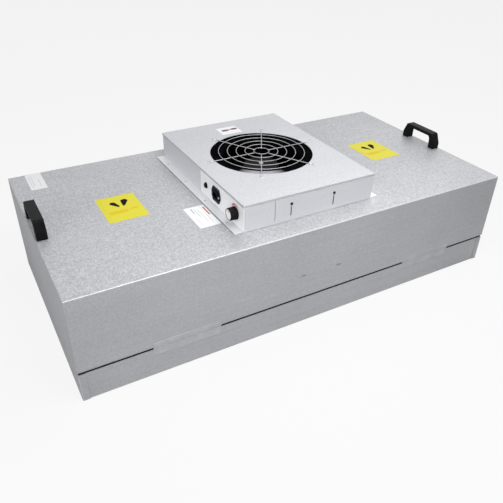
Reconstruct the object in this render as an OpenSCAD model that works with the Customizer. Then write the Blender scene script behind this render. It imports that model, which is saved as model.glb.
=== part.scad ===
// Ceiling fan filter unit: a galvanised plenum over a pleated filter panel, with a
// low fan box on top that holds the inlet, the guard, the blower and the controls.
// X is the long side, -Y the front, Z up; the origin is the bottom centre of the casing.

/* [Casing] */
// Length of the casing along X
body_w = 1220; // [1000:1:1500]
// Depth of the casing along Y
body_d = 610; // [590:1:760]
// Height of the casing from the filter's seat to the top sheet
body_h = 276; // [262:1:330]
// Thickness of the galvanised sheet
sheet_t = 1.2; // [1:0.1:1.5]
// Outside radius of the sheet's folds
fold_r = 2.6; // [2:0.1:4]
// Width of the folded tabs that hold the filter at the front and back
end_tab_w = 17; // [14:1:24]
// Width of the end panels' upper flange, which the handles bolt through
top_flange_w = 32; // [30:1:40]
// Width of the inward flanges that seal on the filter
seal_flange_w = 22; // [20:1:26]
// Gap between pieces that seat on each other
fit_gap = 0.2; // [0.1:0.05:0.3]

/* [Filter] */
// Height of the filter's aluminium frame
filter_h = 76; // [69:1:90]
// Thickness of the compressed sealing strip over the frame
gasket_t = 6; // [3:0.5:7]
// Width of the sealing strip
gasket_w = 14; // [12:1:17]
// Room round the filter in the casing
filter_gap = 0.6; // [0.4:0.1:1]
// Width of the frame's rails
rail_w = 18; // [18:1:24]
// Wall of the frame's rails
rail_t = 2; // [1.6:0.1:2.4]
// Height of the rails' inner lips
rail_lip_h = 3; // [2:0.5:5]
// Distance between two pleats
pleat_pitch = 9; // [7:0.5:14]
// Thickness of the pleated paper
media_t = 0.8; // [0.6:0.1:1]
// Distance between two rows of glue beads across the pleats
bead_pitch = 50; // [40:1:80]
// Thickness of the glue beads
bead_t = 1.2; // [1:0.1:1.5]
// Distance between the wires of the face guard
mesh_pitch = 20; // [18:1:40]
// Diameter of the face guard's wires
mesh_wire_d = 1.4; // [1:0.1:1.8]

/* [Fan box] */
// Length of the fan box along X
box_w = 380; // [376:1:440]
// Depth of the fan box along Y
box_d = 500; // [496:1:530]
// Height of the fan box over the casing
box_h = 71; // [68:1:90]
// Offset of the fan box from the middle of the casing along X
box_x = 12; // [-30:1:30]
// Offset of the fan box from the middle of the casing along Y
box_y = 8; // [0:1:12]
// Width of the box's foot flanges
foot_flange_w = 22; // [15:1:30]
// Height of the lid's folded rim
lid_rim_h = 5; // [3:0.5:8]
// Distance from the box's left side to the access cover
cover_inset = 85; // [60:1:110]
// Distance between the two keyholes of the access cover
keyhole_pitch = 125; // [100:1:150]

/* [Blower] */
// Diameter of the inlet opening in the lid
inlet_d = 279; // [270:1:290]
// Radius of the inlet ring's bell mouth
bell_r = 34; // [28:1:36]
// Thickness of the inlet ring
bell_t = 1.6; // [1.2:0.1:2]
// Outside diameter of the impeller
impeller_d = 330; // [318:1:334]
// Diameter of the opening in the casing's top over the impeller
well_d = 346; // [342:1:352]
// Number of backward curved blades
blade_count = 7; // [5:1:9]
// Thickness of a blade
blade_t = 2.4; // [2:0.1:3]
// Height of the impeller's outlet between its plates
outlet_h = 56; // [46:1:60]
// Thickness of the impeller's plates
plate_t = 1.8; // [1.5:0.1:2.2]
// Diameter of the motor's turning bell
rotor_d = 100; // [90:1:110]
// Height of the motor's turning bell
rotor_h = 94; // [84:1:100]
// Diameter of the motor's shaft
shaft_d = 12; // [10:1:14]
// Gap between the shaft and its bearings
shaft_gap = 0.05; // [0.03:0.01:0.08]
// Thickness of the bridge that carries the motor
bridge_t = 3; // [2:0.5:4]
// Width of the bridge
bridge_w = 100; // [96:1:120]
// Height of the air baffle over the filter's seat
baffle_z = 148; // [130:1:165]
// Distance between the baffle's two tabs
baffle_tab_pitch = 106; // [80:1:140]

/* [Finger guard] */
// Diameter of the guard's ring wire
ring_wire_d = 2.2; // [1.8:0.1:3]
// Diameter of the guard's spoke wire
spoke_wire_d = 2.8; // [2.4:0.1:3.5]
// Radius of the guard's smallest ring
ring_first_r = 21; // [16:1:26]
// Distance between two rings
ring_pitch = 24; // [20:1:26]
// Number of rings
ring_count = 5; // [4:1:5]
// Radius of the circle of the guard's screws
guard_screw_r = 157; // [154:1:162]

/* [Controls] */
// Length of the white control plate along Y
plate_len = 232; // [225:1:240]
// Height of the row of controls over the casing
control_z = 35; // [34:1:39]
// Distance from the box's front to the speed knob
knob_from_front = 40; // [32:1:46]
// Distance from the speed knob to the mains inlet
inlet_from_knob = 102; // [92:1:112]
// Distance from the mains inlet to the fuse holder
fuse_from_inlet = 59; // [48:1:62]
// Diameter of the speed knob
knob_d = 33; // [28:1:38]
// Length of the speed knob
knob_len = 20; // [16:1:24]
// Diameter of the fuse holder's collar
fuse_collar_d = 16; // [15:0.5:19]

/* [Handles] */
// Length of a handle along Y
handle_len = 134; // [126:1:142]
// Width of a handle
handle_w = 25; // [22:1:28]
// Height of a handle
handle_h = 46; // [40:1:56]
// Distance from a handle's middle to the casing's end
handle_inset = 15.5; // [14:0.5:17]
// Distance between a handle's two screws
handle_screw_pitch = 114; // [106:1:118]

/* [Stickers and tape] */
// Thickness of the stickers
sticker_t = 0.25; // [0.15:0.05:0.4]
// Length of the foil tapes
tape_len = 170; // [140:1:200]
// Height of the foil tapes
tape_h = 40; // [32:1:50]
// Distance between the middles of the two tapes
tape_pitch = 734; // [640:1:780]

/* [Hidden] */

// Colours of the materials
zinc = [0.72, 0.74, 0.77];
bright_zinc = [0.80, 0.82, 0.85];
white_paint = [0.93, 0.94, 0.95];
black_plastic = [0.05, 0.05, 0.055];
rubber_black = [0.03, 0.03, 0.03];
steel = [0.62, 0.62, 0.64];
silver = [0.86, 0.86, 0.87];
paper_white = [0.96, 0.96, 0.94];
glue_white = [0.92, 0.90, 0.84];
brass_yellow = [0.78, 0.63, 0.32];
sticker_yellow = [0.97, 0.87, 0.10];
board_green = [0.10, 0.36, 0.20];

// Smoothness of curves
round_fn = 96;
small_fn = 48;
// Overshoot of a cut past the face it opens
cut = 1;

// Casing
half_w = body_w / 2;
half_d = body_d / 2;
seam_z = filter_h + gasket_t;
wrap_inner_y = half_d - sheet_t;
panel_inner_x = half_w - sheet_t;
panel_half_d = wrap_inner_y - fit_gap;
panel_top_z = body_h - sheet_t - fit_gap;
handle_x = half_w - handle_inset;
handle_screw_y = handle_screw_pitch / 2;
handle_screw_d = 6;
screw_gap = 0.2;

// Filter
rail_out_x = panel_inner_x - filter_gap;
rail_out_y = half_d - sheet_t - filter_gap;
gasket_inset = 1;
clip_w = 26;
clip_t = filter_gap * 5 / 6;
clip_from_corner = 110;
clip_y = half_d - clip_from_corner;
clip_h = 34;
clip_z = 30;
hook_h = 4;
hook_reach = 1;
guard_z = rail_t + rail_lip_h;
guard_top_z = guard_z + 2 * mesh_wire_d;
lip_under_z = filter_h - rail_t - rail_lip_h;
pack_half_w = rail_out_x - rail_w - fit_gap;
pack_half_d = rail_out_y - rail_w - fit_gap;
pack_low_z = guard_top_z + bead_t + fit_gap;
pack_top_z = filter_h - rail_t - bead_t - fit_gap;
pleat_count = round(2 * pack_half_w / pleat_pitch);
pleat_step = 2 * pack_half_w / pleat_count;
fold_gap = 0.4;
bead_w = 2;

// Fan box
box_left = box_x - box_w / 2;
box_front = box_y - box_d / 2;
lid_z = body_h + box_h;
lid_under_z = lid_z - sheet_t;
rim_t = sheet_t + fit_gap;
wall_left = box_left + rim_t;
wall_front = box_front + rim_t;
wall_w = box_w - 2 * rim_t;
wall_d = box_d - 2 * rim_t;
inner_flange_w = 12;
cover_w = box_w - cover_inset - 5;
cover_margin = 2;
cover_h = box_h - lid_rim_h - 2 * cover_margin;
keyhole_rise = 46;
keyhole_z = body_h + keyhole_rise;
keyhole_d = 7;
keyhole_slot_w = 3;
keyhole_drop = 33;
keyhole_x = box_x + 2;

// Inlet ring and impeller
throat_r = inlet_d / 2 - bell_r;
throat_z = lid_under_z - bell_r;
throat_lip = 4;
ring_flange_r = inlet_d / 2 + 11;
eye_gap = 2.5;
eye_r = throat_r + bell_t + eye_gap;
shroud_r = 20;
shroud_arc_x = eye_r + plate_t + shroud_r;
shroud_arc_z = throat_z - 12;
shroud_low_z = shroud_arc_z - shroud_r - plate_t;
back_plate_z = shroud_low_z - outlet_h;
blade_in_r = eye_r + 4;
blade_out_r = impeller_d / 2 - 2;
blade_sweep = 46;
blade_steps = 12;
hub_gap = 0.3;
hub_h = 10;

// Motor
rotor_low_z = back_plate_z - plate_t - 1.2;
rotor_flange_r = rotor_d / 2 + 9;
rotor_flange_t = back_plate_z - plate_t - rotor_low_z;
rotor_wall = 4;
rotor_top_z = rotor_low_z + rotor_h;
base_gap = 3.5;
base_t = 6;
base_z = rotor_low_z - base_gap - base_t;
base_r = rotor_d / 2 - 5;
tube_bore_r = 14;
tube_r = 18;
tube_top_z = rotor_top_z - 24;
bearing_w = 8;
press_gap = 0.02;
air_gap = 1.5;
core_low_z = rotor_low_z + 14;
core_h = 36;
core_slots = 12;
motor_screw_r = 34;
motor_screw_d = 5;

// Bridge and baffle
bridge_leg_y = 190;
bridge_foot_w = 26;
bridge_z = base_z - bridge_t;
bridge_top_z = body_h - sheet_t;
bolt_x = bridge_w / 2 - 15;
bolt_y = bridge_leg_y + bridge_foot_w / 2;
bolt_d = 6;
baffle_w = 420;
baffle_fold_h = 14;
tab_w = 13;
slot_w = 15;
slot_h = 3.4;
foam_t = 20;

// Controls, all on axes along X through the control plate
control_t = 1.5;
plate_x = wall_left - control_t;
axis_z = body_h + control_z;
knob_y = box_front + knob_from_front;
inlet_y = knob_y + inlet_from_knob;
fuse_y = inlet_y + fuse_from_inlet;
window_margin = 10;
pot_bush_d = 9;
pot_shaft_d = 6;
knob_lift = 0.5;
knob_recess_d = 20;
knob_recess_h = 4.5;
knob_flutes = 24;
knob_cap_d = knob_d - 6;
fuse_body_d = 12;
fuse_bore_d = 9.4;
fuse_len = 34;
fuse_gap = 0.08;
link_d = 5.2;
link_len = 20;
socket_len = 46;
socket_h = 38;
socket_end_h = 10;
socket_hole_pitch = 37;
socket_flange_t = 3;
collar_w = 29;
collar_h = 21;
collar_t = 2;
mouth_w = 24;
mouth_h = 16.5;
mouth_depth = 18;
pin_len = 12.8;
pin_pitch = 7;

// Screws and small parts
guard_screw_d = 4;
guard_screw_head_d = 8;
eyelet_d = 10;
weld_bite = 0.8;
cover_screw_head_h = 1.6;
keyhole_margin = 14;
keyhole_bridge = 9;
cover_gap = 1.6;
lap_bite = 0.4;
hub_t = 6;
rotor_crown_r = 6;
rotor_boss_r = 13;
shaft_end = 1.5;
core_yoke = 6;
core_slot_w = 5;
bolt_head_d = 11;
bolt_head_h = 4;
bolt_end = 7;
nut_h = 5;
motor_screw_head_h = 3;
foam_edge = 20;
foam_end = 50;
fuse_collar_t = 1.5;
cap_lift = 0.3;
cap_h = 2.6;
cap_slot_w = 1.4;
cap_slot_h = 1.2;
stem_len = 10;
stem_bore = 3;
mouth_cut = 4;
socket_body_w = 27;
socket_body_h = 20;
socket_screw_d = 3;
socket_screw_head_h = 1.5;
pin_t = 2;
pin_w = 4;
pin_rise = 2;
pin_tail = 11;
knob_cap_t = 1.4;
knob_skirt_h = 4;
knob_flute_d = 2;
pointer_w = 1.6;
pot_shaft_out = 14;
pot_shaft_in = 6;
pot_bush_out = 4.2;
pot_d = 24;
pot_depth = 12;
pot_nut_d = 14;
pot_nut_h = 2.5;
board_x = box_left + 28;
board_y = box_front + 14;
board_w = 60;
board_d = 40;
board_t = 1.6;
post_h = 6;
capacitor_d = 30;
capacitor_len = 64;
capacitor_from_fan = 88;
capacitor_x = box_x + capacitor_from_fan;
capacitor_y = box_front + 30;
clamp_w = 12;
clamp_foot = 12;
handle_foot_len = 20;
handle_shoulder = 13;
handle_shoulder_z = 20;
handle_lean = 2;
handle_shift = 6;
handle_grip_t = 10;
handle_hole_depth = 14;
handle_screw_head_h = 3;

// Stickers
yellow_size = [100, 130];
yellow_pitch = 802;
front_sticker_gap = 4;
front_sticker_y = 117.5;
back_sticker_from_end = 63;
back_sticker_gap = 1;
lid_sticker_shift = 6;
lid_sticker_from_back = 69;
front_sticker_size = [54, 105];
back_sticker_size = [42, 100];
lid_sticker_size = [63, 51];

// Tape
tape_t = 0.2;

// ---------- helpers ----------

// Box from its low corner
module slab(low, size) {
    translate(low) cube(size);
}

// Rectangle with round corners, made of squares and circles
module round_rect(low, size, r) {
    translate([low[0] + r, low[1]]) square([size[0] - 2 * r, size[1]]);
    translate([low[0], low[1] + r]) square([size[0], size[1] - 2 * r]);
    for (x = [low[0] + r, low[0] + size[0] - r], y = [low[1] + r, low[1] + size[1] - r])
        translate([x, y]) circle(r = r, $fn = small_fn);
}

// Outline of a folded sheet with a round fold at each corner
module folded_ring(low, size, r, t) {
    difference() {
        round_rect(low, size, r);
        round_rect([low[0] + t, low[1] + t], [size[0] - 2 * t, size[1] - 2 * t], r - t);
    }
}

// Extrudes an outline drawn in Y and Z along X
module along_x(x_start, length) {
    translate([x_start, 0, 0]) rotate([90, 0, 90]) linear_extrude(length) children();
}

// Cylinder whose axis runs along -X from a start point
module rod_out(x_start, y, z, d, length, fn = small_fn) {
    translate([x_start, y, z]) rotate([0, -90, 0]) cylinder(d = d, h = length, $fn = fn);
}

module both_sides() {
    children();
    mirror([1, 0, 0]) children();
}

// Both ends carry the same parts, turned half a turn
module both_ends() {
    children();
    rotate([0, 0, 180]) children();
}

module at_fan() {
    translate([box_x, box_y, 0]) children();
}

// ---------- casing ----------

// Top, front and back in one folded sheet, with inward flanges over the filter
module casing_wrap() {
    color(zinc) difference() {
        along_x(-half_w, body_w) difference() {
            folded_ring([-half_d, seam_z], [body_d, body_h - seam_z], fold_r, sheet_t);
            translate([-half_d + seal_flange_w, seam_z - cut])
                square([body_d - 2 * seal_flange_w, fold_r + 2 * cut]);
        }
        // the end walls pass the seal flanges at the four lower corners
        both_sides() slab([panel_inner_x - fit_gap, -panel_half_d + fold_r - fit_gap, seam_z - cut],
                          [sheet_t + fit_gap + cut, 2 * (panel_half_d - fold_r + fit_gap),
                              sheet_t + 2 * cut]);
        at_fan() translate([0, 0, body_h - sheet_t - cut])
            cylinder(d = well_d, h = sheet_t + 2 * cut, $fn = round_fn);
        at_fan() bridge_bolt_places() translate([0, 0, body_h - sheet_t - cut])
            cylinder(d = bolt_d + 2 * screw_gap, h = sheet_t + 2 * cut, $fn = small_fn);
        both_ends() handle_screw_places() translate([0, 0, body_h - sheet_t - cut])
            cylinder(d = handle_screw_d + 2 * screw_gap, h = sheet_t + 2 * cut, $fn = small_fn);
        baffle_tab_places() translate([-slot_w / 2, -half_d - cut, baffle_z + sheet_t / 2 - slot_h / 2])
            cube([slot_w, body_d + 2 * cut, slot_h]);
    }
}

// Plan outline of a pan: a wall at the end with flanges turned inward at front and back
module pan_plan(half_depth, flange_w) {
    intersection() {
        folded_ring([-half_w, -half_depth], [body_w, 2 * half_depth], fold_r, sheet_t);
        translate([-half_w, -half_depth]) square([flange_w, 2 * half_depth]);
    }
}

// End wall: it fits inside the wrap above the seam, and folds round the filter below it
module end_panel() {
    difference() {
        union() {
            linear_extrude(filter_h) pan_plan(half_d, end_tab_w);
            translate([0, 0, seam_z + fold_r])
                linear_extrude(panel_top_z - seam_z - sheet_t - fit_gap - fold_r)
                    pan_plan(panel_half_d, end_tab_w);
            slab([-half_w, -panel_half_d + fold_r, filter_h - cut],
                 [sheet_t, 2 * (panel_half_d - fold_r), panel_top_z - filter_h + cut]);
            slab([-half_w, -panel_half_d + fold_r, panel_top_z - sheet_t],
                 [top_flange_w, 2 * (panel_half_d - fold_r), sheet_t]);
        }
        rotate([0, 0, 180]) handle_screw_places() translate([0, 0, panel_top_z - sheet_t - cut])
            cylinder(d = handle_screw_d + 2 * screw_gap, h = sheet_t + 2 * cut, $fn = small_fn);
    }
}

module end_panel_left() {
    color(zinc) end_panel();
}

module end_panel_right() {
    color(zinc) rotate([0, 0, 180]) end_panel();
}

// Angle welded to the end wall, level with the wrap's seal flanges
module seal_angle() {
    x_in = -panel_inner_x + fit_gap;
    leg_half_d = half_d - seal_flange_w - fit_gap;
    slab([x_in, -leg_half_d, seam_z], [seal_flange_w, 2 * leg_half_d, sheet_t]);
    slab([x_in, -leg_half_d, seam_z], [sheet_t, 2 * leg_half_d, seal_flange_w]);
}

module seal_angle_left() {
    color(zinc) seal_angle();
}

module seal_angle_right() {
    color(zinc) mirror([1, 0, 0]) seal_angle();
}

// ---------- filter ----------

// Section of a rail, drawn from its outer face inward and from its seat upward
module rail_section() {
    square([rail_t, filter_h]);
    square([rail_w, rail_t]);
    translate([0, filter_h - rail_t]) square([rail_w, rail_t]);
    translate([rail_w - rail_t, 0]) square([rail_t, rail_t + rail_lip_h]);
    translate([rail_w - rail_t, filter_h - rail_t - rail_lip_h]) square([rail_t, rail_t + rail_lip_h]);
}

// Rail along X at the front, mitred at both ends
module rail(half_len, out_y) {
    translate([0, -out_y, 0]) difference() {
        along_x(-half_len, 2 * half_len) rail_section();
        both_sides() translate([-half_len, 0, -cut]) rotate([0, 0, 45])
            translate([-rail_w, 0, 0]) cube([4 * rail_w, 2 * rail_w, filter_h + 2 * cut]);
    }
}

module filter_rail_front() {
    color(zinc) rail(rail_out_x, rail_out_y);
}

module filter_rail_back() {
    color(zinc) rotate([0, 0, 180]) rail(rail_out_x, rail_out_y);
}

module end_rail() {
    difference() {
        rotate([0, 0, -90]) rail(rail_out_y, rail_out_x);
        clip_places() slab([-rail_out_x - cut, -clip_w / 2 - 1, clip_z - fit_gap],
                           [cut + hook_reach + fit_gap, clip_w + 2, hook_h + 2 * fit_gap]);
    }
}

module filter_rail_left() {
    color(zinc) end_rail();
}

module filter_rail_right() {
    color(zinc) mirror([1, 0, 0]) end_rail();
}

module clip_places() {
    for (side = [-1, 1]) translate([0, side * clip_y, 0]) children();
}

// Spring tongues on the end walls that snap into the rails' pockets and hold the filter up
module filter_clips() {
    color(steel) both_sides() clip_places() {
        slab([-panel_inner_x, -clip_w / 2, clip_z], [clip_t, clip_w, clip_h]);
        slab([-panel_inner_x, -clip_w / 2, clip_z], [filter_gap + hook_reach, clip_w, hook_h]);
    }
}

module filter_gasket() {
    outer = [rail_out_x - gasket_inset, rail_out_y - gasket_inset];
    inner = [outer[0] - gasket_w, outer[1] - gasket_w];
    color(rubber_black) difference() {
        slab([-outer[0], -outer[1], filter_h], [2 * outer[0], 2 * outer[1], gasket_t]);
        slab([-inner[0], -inner[1], filter_h - cut], [2 * inner[0], 2 * inner[1], gasket_t + 2 * cut]);
    }
}

// Ring round the filter: its outer half sizes, its width, its low face and its height
module plan_ring(half, width, z, h) {
    difference() {
        slab([-half[0], -half[1], z], [2 * half[0], 2 * half[1], h]);
        slab([-half[0] + width, -half[1] + width, z - cut],
             [2 * (half[0] - width), 2 * (half[1] - width), h + 2 * cut]);
    }
}

// Sealant that fills the rails' channel and holds the pack
module potting() {
    half = [rail_out_x - rail_t, rail_out_y - rail_t];
    low_z = guard_top_z + fit_gap;
    color(glue_white) {
        plan_ring(half, rail_w - rail_t + fit_gap, low_z, lip_under_z - low_z);
        plan_ring(half, rail_w - 2 * rail_t, lip_under_z, rail_lip_h);
    }
}

// Outline of the folded paper, drawn in X and Z: the fold tips are flat and twice the paper wide
function tip_pair(x, width, z) = [[x - width / 2, z], [x + width / 2, z]];
function pleat_top(i) = concat(
    tip_pair((i + 0.5) * pleat_step, 2 * media_t + fold_gap, pack_top_z),
    tip_pair((i + 1) * pleat_step, fold_gap, pack_low_z + media_t));
function pleat_under(i) = concat(
    tip_pair((i + 0.5) * pleat_step, fold_gap, pack_top_z - media_t),
    tip_pair((i + 1) * pleat_step, 2 * media_t + fold_gap, pack_low_z));
function joined(lists) = [for (points = lists) for (point = points) point];
function trimmed(points) = [for (point = points) [min(point[0], 2 * pack_half_w), point[1]]];
function reversed(points) = [for (i = [len(points) - 1 : -1 : 0]) points[i]];

module media_pack() {
    top = trimmed(joined([for (i = [0 : pleat_count - 1]) pleat_top(i)]));
    under = trimmed(joined([for (i = [0 : pleat_count - 1]) pleat_under(i)]));
    last = len(top) - 1;
    color(paper_white) translate([-pack_half_w, pack_half_d, 0]) rotate([90, 0, 0])
        linear_extrude(2 * pack_half_d) polygon(concat(
            [[0, pack_low_z], [0, pack_low_z + media_t]],
            [for (i = [0 : last - 1]) top[i]],
            [[2 * pack_half_w, pack_low_z + media_t], [2 * pack_half_w, pack_low_z]],
            reversed([for (i = [0 : last - 1]) under[i]])));
}

// Rows of glue that keep the pleats apart, over and under the pack
module media_beads() {
    count = floor(2 * pack_half_d / bead_pitch);
    color(glue_white) for (i = [0 : count - 1], z = [pack_low_z - bead_t, pack_top_z])
        slab([-pack_half_w, (i - (count - 1) / 2) * bead_pitch - bead_w / 2, z],
             [2 * pack_half_w, bead_w, bead_t]);
}

// Welded wires that shield the pack from below, lying on the rails' lower lips
module face_guard() {
    reach_x = rail_out_x - rail_t - fit_gap;
    reach_y = rail_out_y - rail_t - fit_gap;
    across = floor((reach_x - rail_w) / mesh_pitch);
    along = floor((reach_y - rail_w) / mesh_pitch);
    color(white_paint) {
        for (i = [-across : across])
            translate([i * mesh_pitch, reach_y, guard_z + mesh_wire_d / 2]) rotate([90, 0, 0])
                cylinder(d = mesh_wire_d, h = 2 * reach_y, $fn = 8);
        for (i = [-along : along])
            translate([-reach_x, i * mesh_pitch, guard_z + mesh_wire_d * 1.5]) rotate([0, 90, 0])
                cylinder(d = mesh_wire_d, h = 2 * reach_x, $fn = 8);
    }
}

// ---------- fan box ----------

module plate_outline(margin, x_start, depth) {
    slab([x_start, box_front + cover_margin + margin, body_h + cover_margin + margin],
         [depth, plate_len - 2 * margin, cover_h - 2 * margin]);
}

// Four folded walls with foot flanges on the left and right
module fan_box_walls() {
    color(bright_zinc) difference() {
        union() {
            translate([0, 0, body_h]) linear_extrude(lid_under_z - body_h)
                folded_ring([wall_left, wall_front], [wall_w, wall_d], fold_r, sheet_t);
            for (x = [box_left - foot_flange_w, wall_left + wall_w - sheet_t])
                slab([x, wall_front + fold_r, body_h],
                     [foot_flange_w + rim_t + sheet_t, wall_d - 2 * fold_r, sheet_t]);
            // corner sheet lapped on the front wall, level with the access cover beside it
            slab([wall_left + fold_r, wall_front - sheet_t, body_h + cover_margin],
                 [cover_inset - cover_gap - rim_t - fold_r, sheet_t + lap_bite, cover_h]);
        }
        plate_outline(window_margin, wall_left - cut, sheet_t + 2 * cut);
        keyhole_places() translate([0, wall_front - cut, keyhole_z])
            rotate([-90, 0, 0]) cylinder(d = keyhole_slot_w + fit_gap, h = sheet_t + 2 * cut, $fn = small_fn);
        slab([keyhole_x - keyhole_pitch / 2 + keyhole_margin, wall_front - cut, body_h + keyhole_margin],
             [keyhole_pitch - 2 * keyhole_margin, sheet_t + 2 * cut, box_h - 2 * keyhole_margin]);
        keyhole_places() slab([-keyhole_slot_w / 2 - fit_gap, wall_front - cut, keyhole_z - keyhole_drop],
                              [keyhole_slot_w + 2 * fit_gap, sheet_t + 2 * cut,
                                  keyhole_drop - keyhole_bridge]);
        // the gap beside the access cover opens into the box
        slab([box_left + cover_inset - cover_gap, wall_front - cut, body_h + window_margin],
             [cover_gap, sheet_t + 2 * cut, box_h - 2 * window_margin]);
    }
}

module guard_screw_places() {
    at_fan() for (angle = [0 : 60 : 300]) rotate([0, 0, angle]) translate([guard_screw_r, 0, 0]) children();
}

// Tray-shaped lid with the inlet opening
module fan_box_lid() {
    color(bright_zinc) difference() {
        union() {
            translate([0, 0, lid_under_z]) linear_extrude(sheet_t)
                round_rect([box_left, box_front], [box_w, box_d], fold_r);
            translate([0, 0, lid_z - lid_rim_h]) linear_extrude(lid_rim_h)
                folded_ring([box_left, box_front], [box_w, box_d], fold_r, sheet_t);
        }
        at_fan() translate([0, 0, lid_under_z - cut])
            cylinder(d = inlet_d, h = sheet_t + 2 * cut, $fn = round_fn);
        guard_screw_places() translate([0, 0, lid_under_z - cut])
            cylinder(d = guard_screw_d + 2 * fit_gap, h = sheet_t + 2 * cut, $fn = small_fn);
    }
}

module keyhole_places() {
    for (side = [-1, 1]) translate([keyhole_x + side * keyhole_pitch / 2, 0, 0]) children();
}

// Cover over the wiring access, hung on two screws through upright slots
module access_cover() {
    color(bright_zinc) difference() {
        slab([box_left + cover_inset, wall_front - sheet_t, body_h + cover_margin],
            [cover_w, sheet_t, cover_h]);
        keyhole_places() translate([0, wall_front - sheet_t - cut, keyhole_z]) {
            rotate([-90, 0, 0]) cylinder(d = keyhole_slot_w + 2 * fit_gap, h = sheet_t + 2 * cut,
                $fn = small_fn);
            translate([-keyhole_slot_w / 2 - fit_gap, 0, -keyhole_drop])
                cube([keyhole_slot_w + 2 * fit_gap, sheet_t + 2 * cut, keyhole_drop]);
        }
    }
}

// Screws of the access cover
module cover_screws() {
    color(black_plastic) keyhole_places() translate([0, wall_front - sheet_t, keyhole_z])
        rotate([-90, 0, 0]) {
        translate([0, 0, -cover_screw_head_h])
            cylinder(d = keyhole_d, h = cover_screw_head_h, $fn = small_fn);
        cylinder(d = keyhole_slot_w, h = 3 * sheet_t, $fn = small_fn);
    }
}

// ---------- inlet and guard ----------

// Bell mouth that leads the air into the impeller's eye
module inlet_ring() {
    color(black_plastic) at_fan() rotate_extrude($fn = round_fn) {
        intersection() {
            translate([inlet_d / 2, throat_z]) difference() {
                circle(r = bell_r, $fn = round_fn);
                circle(r = bell_r - bell_t, $fn = round_fn);
            }
            translate([throat_r, throat_z]) square([bell_r, bell_r]);
        }
        translate([inlet_d / 2, lid_under_z - bell_t]) square([ring_flange_r - inlet_d / 2, bell_t]);
        translate([throat_r, throat_z - throat_lip]) square([bell_t, throat_lip]);
    }
}

// Welded wire guard: three spokes across the opening carry the rings
module finger_guard() {
    spoke_z = lid_z + spoke_wire_d / 2;
    ring_z = lid_z + spoke_wire_d + ring_wire_d / 2 - weld_bite;
    color(silver) at_fan() {
        difference() {
            union() {
                for (angle = [0, 60, 120]) rotate([0, 0, angle])
                    translate([-guard_screw_r, 0, spoke_z]) rotate([0, 90, 0])
                        cylinder(d = spoke_wire_d, h = 2 * guard_screw_r, $fn = 8);
                for (angle = [0 : 60 : 300]) rotate([0, 0, angle])
                    translate([guard_screw_r, 0, lid_z])
                        cylinder(d = eyelet_d, h = spoke_wire_d, $fn = small_fn);
                for (i = [0 : ring_count - 1]) translate([0, 0, ring_z])
                    rotate_extrude($fn = round_fn) translate([ring_first_r + i * ring_pitch, 0])
                        circle(d = ring_wire_d, $fn = 24);
            }
            for (angle = [0 : 60 : 300]) rotate([0, 0, angle]) translate([guard_screw_r, 0, lid_z - cut])
                cylinder(d = guard_screw_d + 2 * fit_gap, h = spoke_wire_d + 2 * cut, $fn = small_fn);
        }
    }
}

module guard_screws() {
    color(steel) guard_screw_places() {
        translate([0, 0, lid_z + spoke_wire_d]) cylinder(d = guard_screw_head_d, h = 2, $fn = small_fn);
        translate([0, 0, lid_under_z - 4])
            cylinder(d = guard_screw_d, h = spoke_wire_d + sheet_t + 4, $fn = small_fn);
    }
}

// ---------- blower ----------

// Middle line of a blade: it trails back as it goes out
function blade_line(t) = let (r = blade_in_r + (blade_out_r - blade_in_r) * t, angle = -blade_sweep * t)
    [r * cos(angle), r * sin(angle)];
function blade_side(t, side) = let (along = blade_line(t + 0.01) - blade_line(t - 0.01))
    blade_line(t) + side * blade_t / 2 * [-along[1], along[0]] / norm(along);

module blade_plan() {
    polygon(concat(
        [for (i = [0 : blade_steps]) blade_side(i / blade_steps, 1)],
        [for (i = [blade_steps : -1 : 0]) blade_side(i / blade_steps, -1)]));
}

// Space over the middle of the shroud's wall, which trims the blades' upper edges
module over_shroud() {
    rotate_extrude($fn = round_fn) {
        translate([shroud_arc_x, shroud_arc_z]) circle(r = shroud_r + plate_t / 2, $fn = round_fn);
        translate([shroud_arc_x, shroud_low_z + plate_t / 2]) square([shroud_r * 2, shroud_r * 2]);
    }
}

module shroud() {
    rotate_extrude($fn = round_fn) {
        translate([eye_r, shroud_arc_z]) square([plate_t, throat_z - 1 - shroud_arc_z]);
        intersection() {
            translate([shroud_arc_x, shroud_arc_z]) difference() {
                circle(r = shroud_r + plate_t, $fn = round_fn);
                circle(r = shroud_r, $fn = round_fn);
            }
            translate([eye_r, shroud_low_z]) square([shroud_r + plate_t, shroud_r + plate_t]);
        }
        translate([shroud_arc_x, shroud_low_z]) square([impeller_d / 2 - shroud_arc_x, plate_t]);
    }
}

// Backward curved wheel: shroud, blades, back plate and hub in one moulding
module impeller() {
    color(black_plastic) at_fan() {
        shroud();
        rotate_extrude($fn = round_fn) {
            translate([rotor_d / 2 + hub_gap, back_plate_z - plate_t])
                square([impeller_d / 2 - rotor_d / 2 - hub_gap, plate_t]);
            translate([rotor_d / 2 + hub_gap, back_plate_z - plate_t]) square([hub_t, hub_h]);
        }
        difference() {
            translate([0, 0, back_plate_z - plate_t / 2])
                linear_extrude(shroud_arc_z - shroud_r / 2 - back_plate_z) {
                    for (i = [0 : blade_count - 1]) rotate([0, 0, i * 360 / blade_count]) blade_plan();
                }
            over_shroud();
        }
    }
}

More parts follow.
